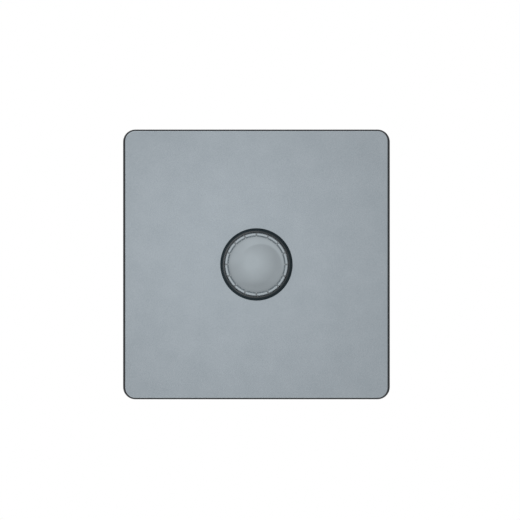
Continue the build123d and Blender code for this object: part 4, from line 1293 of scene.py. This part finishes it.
@dataclass
class ChokeWinding:
    """The copper wire wound round the ring core of the choke."""

    x: float = -13.4
    z: float = 14.4
    middle_height: float = -13.6  # height of the ring's middle
    ring_radius: float = 5.2  # radius of the ring's middle line
    half_width: float = 1.78  # half width of the winding's section
    half_height: float = 3.38  # half height of the winding's section
    squareness: float = 0.3  # power that squares the section off, 1 for an ellipse
    wire: float = 0.36  # radius of the wire
    turns: int = 22
    sweep: float = 310.0  # angle round the ring that is wound, in degrees
    points_per_turn: int = 28
    sides: int = 8  # points round the wire

    def surface(self) -> Surface:
        """A tube along a winding path.

        The path goes round the ring by t * sweep and round the core's section by t * turns full turns. The
        section is a superellipse: each of its coordinates is the sign of the cosine or sine times its size
        raised to a power below one, which squares it off.

        Returns:
            The surface.
        """
        share = spread(0, 1, self.turns * self.points_per_turn + 1)
        ring = np.radians(self.sweep) * share
        wound = 2 * math.pi * self.turns * share
        out, up = np.cos(wound), np.sin(wound)
        across, rise = (np.sign(v) * np.abs(v) ** self.squareness for v in (out, up))
        radius = self.ring_radius + self.half_width * across
        centre = np.stack([radius * np.cos(ring), self.half_height * rise, -radius * np.sin(ring)], axis=1)
        outward = np.stack([out * np.cos(ring), up, -out * np.sin(ring)], axis=1)
        rows = tube(np.stack([centre, outward], axis=1), self.wire, self.sides)
        return Surface(moved(rows, self.x, self.z, self.middle_height), Ends.CAPPED)

    def build(self) -> None:
        """Make the winding."""
        add_piece("choke_turns", [self.surface()], Body.BASE, COPPER, ("choke_winding",))


@dataclass
class ReturnLeaf:
    """The bowed leaf behind the switch's plunger, which flattens as the knob is pushed."""

    reach: float = 4.6  # distance of a foot from the middle
    foot: float = -16.1  # height of the leaf's face at its feet
    crown: float = -11.9  # height of its face at the crown
    seat: float = -16.2  # height that its feet rest on
    thickness: float = 0.3
    width: float = 3.0
    edge: float = 0.08  # radius of the strip's edges
    side_steps: int = 2  # steps along each side of its section
    arc_steps: int = 3  # steps round each edge of its section
    push: float = 1.8  # how far the crown gives way
    steps: int = 48  # points along the leaf

    def surface(self) -> Surface:
        """A rounded strip carried along an arc from one foot over the crown to the other.

        With s the rise of the crown over the feet, the arc's radius is R = (reach * reach + s * s) / (2 * s),
        and a point of the strip at depth d under its face lies at z = (R - d) sin a and
        height = crown - R + (R - d) cos a.

        Returns:
            The surface.
        """
        rise = self.crown - self.foot
        radius = (self.reach**2 + rise**2) / (2 * rise)
        half = math.acos(1 - rise / radius)
        section = rounded_rectangle(self.width, self.thickness, self.edge, self.side_steps, self.arc_steps)
        angle = spread(-half, half, self.steps)[:, None]
        out = radius - self.thickness / 2 + section[None, :, 1]
        across = np.broadcast_to(section[None, :, 0], (self.steps, len(section)))
        height = self.crown - radius + out * np.cos(angle)
        return Surface(np.stack([across, height, out * np.sin(angle)], axis=-1), Ends.CAPPED)

    def build(self) -> None:
        """Make the leaf."""
        replaced = ("return_spring",)
        leaf = add_piece("return_leaf", [self.surface()], Body.BASE, SPRING_STEEL, replaced)
        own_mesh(leaf)


# Studio

DISC_MIDDLE = (0.5, 0.5, 0.0)  # in the coordinates of a light's own disc
DISC_EDGE = 0.5  # the disc's radius there


@dataclass
class SoftLight:
    """A soft oval light placed by the angles at which the knob sees it."""

    name: str
    right: float  # angle to the right of the knob's axis, in degrees
    up: float  # angle above the knob's axis, in degrees
    distance: float  # distance from the knob in metres
    span: Pair  # width and height as angles in degrees
    radiance: float  # brightness at its middle
    core: float  # share of the light that is evenly bright, from which it fades to its edge

    def build(self, target: Vector) -> None:
        """Make the light: its power is the radiance times its area times pi.

        Args:
            target: the point that the light looks at
        """
        right, up = (math.tan(math.radians(angle)) for angle in (self.right, self.up))
        direction = Vector((right, -1.0, up)).normalized()
        lamp = bpy.data.lights.new(self.name, "AREA")
        lamp.shape = "ELLIPSE"
        lamp.size, lamp.size_y = (2 * self.distance * math.tan(math.radians(a / 2)) for a in self.span)
        lamp.energy = self.radiance * math.pi * (lamp.size * lamp.size_y * math.pi / 4)
        self.shade(lamp)
        stand = placed(self.name, lamp)
        stand.location = target + direction * self.distance
        stand.rotation_euler = (-direction).to_track_quat("-Z", "Y").to_euler()
        stand.visible_camera = False

    def shade(self, lamp: bpy.types.AreaLight) -> None:
        """Give the light a level that changes over its disc.

        Args:
            lamp: the light
        """
        nodes = NodeTree.emptied(lamp)
        place = nodes.add("ShaderNodeNewGeometry").outputs["Parametric"]
        inputs = {0: place, 1: DISC_MIDDLE}
        offset = nodes.add("ShaderNodeVectorMath", inputs, operation="SUBTRACT").outputs[0]
        level = self.level(nodes, offset, nodes.length(offset))
        glow = nodes.add("ShaderNodeEmission", {"Color": WHITE, "Strength": level})
        nodes.add("ShaderNodeOutputLight", {"Surface": glow.outputs[0]})

    def level(self, nodes: NodeTree, offset: Socket, away: Socket) -> Socket:
        """Socket of a level that is full in the core and falls evenly to nothing at the edge."""
        return nodes.ramp(away, DISC_EDGE, DISC_EDGE * self.core)


@dataclass
class ArcLight(SoftLight):
    """A strip light bent round the knob's axis: the part of a disc outside a hole, on one side of its middle.

    The core is the share of the disc's width that the hole takes.
    """

    facing: float = 90.0  # direction of the strip's middle in degrees, from the right towards the top
    hole_edge: float = 0.02  # width of the fade at the hole, as a share of the disc's width
    end_fade: float = 0.15  # length of the fade at the strip's two ends, as a share of the disc's width

    def level(self, nodes: NodeTree, offset: Socket, away: Socket) -> Socket:
        """Full level outside the hole, falling to nothing towards the strip's ends.

        Args:
            nodes: the light's nodes
            offset: place on the disc from its middle
            away: length of the offset

        Returns:
            The socket with the level.
        """
        hole, turn = DISC_EDGE * self.core, math.radians(self.facing)
        inputs = {0: offset, 1: (math.cos(turn), math.sin(turn), 0)}
        along = nodes.add("ShaderNodeVectorMath", inputs, operation="DOT_PRODUCT").outputs["Value"]
        ring = nodes.ramp(away, hole, hole + self.hole_edge)
        return nodes.math("MULTIPLY", ring, nodes.ramp(along, 0.0, self.end_fade))


@dataclass
class Studio:
    """White surroundings, a pale floor, soft lights and the camera square in front of the plate.

    Lengths are in metres.
    """

    ambient: float = 0.9  # level of the light that the room gives to matt surfaces
    floor_level: float = -0.16  # place of the floor along Z
    floor_size: float = 2.0  # length of the floor's sides
    floor_centre: float = -0.1  # place of the floor's middle along Y
    floor_grey: float = 0.92  # grey of the floor
    floor_fade: Pair = (0.35, 0.85)  # distances between which the floor turns to the white of the room
    camera_distance: float = 1.2  # distance of the camera from the plate's front
    view_width: float = 0.16948  # width of the view at the plate's front
    view_centre: Pair = (0.00116, 0.00144)  # middle of the view along X and Z
    plate_front: float = -0.0065  # place of the plate's front along Y
    knob_top: float = -0.0195  # place of the knob's top along Y, which the lights look at
    sensor: float = 36.0  # width of the camera's sensor in millimetres
    clip: Pair = (0.01, 20.0)  # nearest and farthest distance that the camera sees
    lights: tuple[SoftLight, ...] = (
        SoftLight("front_light", -3.6, 1.9, 0.235, (39, 39), 0.345, core=0.25),
        SoftLight("upper_left_light", -20.5, 9, 0.9, (23, 23), 0.13, core=0.4),
        ArcLight("left_arc_light", 0.0, 0.0, 0.6, (96, 96), 1.8, core=0.479, facing=165.0),
        SoftLight("lower_light", -14, -37, 0.2, (76, 20), 1.5, core=0.55),
        ArcLight("upper_arc_light", 3.2, -0.8, 0.9, (56, 56), 0.27, core=0.536, facing=62.0, end_fade=0.22),
    )

    @staticmethod
    def seen(nodes: NodeTree) -> Socket:
        """Tell where the room is seen, directly, mirrored or through glass, from where it only gives light.

        Args:
            nodes: the nodes of the world or of the floor

        Returns:
            A socket that is 1 where it is seen and 0 elsewhere.
        """
        path = nodes.add("ShaderNodeLightPath").outputs
        seen = nodes.math("MAXIMUM", path["Is Camera Ray"], path["Is Glossy Ray"])
        return nodes.math("MAXIMUM", seen, path["Is Transmission Ray"])

    def world(self) -> None:
        """White to the camera, to reflections and to glass, and a softer ambient light to matt surfaces."""
        world = bpy.data.worlds.new("white_room")
        bpy.context.scene.world = world
        nodes = NodeTree.emptied(world)
        levels = (self.ambient, 1.0)
        lit = [nodes.add("ShaderNodeBackground", {"Color": WHITE, "Strength": level}) for level in levels]
        inputs = {0: self.seen(nodes), 1: lit[0].outputs[0], 2: lit[1].outputs[0]}
        mixed = nodes.add("ShaderNodeMixShader", inputs)
        nodes.add("ShaderNodeOutputWorld", {"Surface": mixed.outputs[0]})

    def floor(self) -> None:
        """Lay a pale floor below the plate."""
        half = self.floor_size / 2
        corners = [(-half, -half), (half, -half), (half, half), (-half, half)]
        points = [(x, y + self.floor_centre, self.floor_level) for x, y in corners]
        mesh = bpy.data.meshes.new("floor")
        mesh.from_pydata(points, [], [(0, 1, 2, 3)])
        floor = placed("floor", mesh)
        mesh.materials.append(self._floor_finish())

    def _floor_finish(self) -> bpy.types.Material:
        """Make the floor matt and pale, turning to the room's white farther out, and clear from beneath.

        Returns:
            The material.
        """
        made = bpy.data.materials.new("pale_floor")
        nodes = NodeTree.emptied(made)
        pale = nodes.add("ShaderNodeBsdfDiffuse", {"Color": (*[self.floor_grey] * 3, 1.0)}).outputs[0]
        white = nodes.add("ShaderNodeEmission", {"Color": WHITE, "Strength": 1.0}).outputs[0]
        clear = nodes.add("ShaderNodeBsdfTransparent").outputs[0]
        away = nodes.length(nodes.add("ShaderNodeTexCoord").outputs["Object"])
        fade = nodes.ramp(away, *self.floor_fade, interpolation_type="SMOOTHSTEP")
        seen_fade = nodes.math("MULTIPLY", fade, self.seen(nodes))
        surface = nodes.add("ShaderNodeMixShader", {0: seen_fade, 1: pale, 2: white}).outputs[0]
        under = nodes.add("ShaderNodeNewGeometry").outputs["Backfacing"]
        shown = nodes.add("ShaderNodeMixShader", {0: under, 1: surface, 2: clear}).outputs[0]
        nodes.add("ShaderNodeOutputMaterial", {"Surface": shown})
        return made

    def camera(self) -> None:
        """A long lens square to the plate, framed so that the plate stands where the photograph shows it."""
        data = bpy.data.cameras.new("camera")
        data.sensor_width = self.sensor
        data.lens = self.sensor * self.camera_distance / self.view_width
        data.clip_start, data.clip_end = self.clip
        camera = placed("camera", data)
        x, z = self.view_centre
        camera.location = (x, self.plate_front - self.camera_distance, z)
        camera.rotation_euler = (QUARTER_TURN, 0, 0)
        bpy.context.scene.camera = camera

    def build(self) -> None:
        """Set up the studio."""
        bpy.context.scene.view_settings.view_transform = "Standard"
        self.world()
        self.floor()
        self.camera()
        for light in self.lights:
            light.build(Vector((0.0, self.knob_top, 0.0)))


def main() -> None:
    """Build the studio and the pieces in order."""
    logging.basicConfig(level=logging.INFO, format="%(name)s: %(message)s")
    Studio().build()
    dress_nodes()
    for piece in (SteelPlate(), Collar(), Knob(), Screws(), ChokeWinding(), ReturnLeaf()):
        piece.build()


if __name__ == "__main__":
    main()
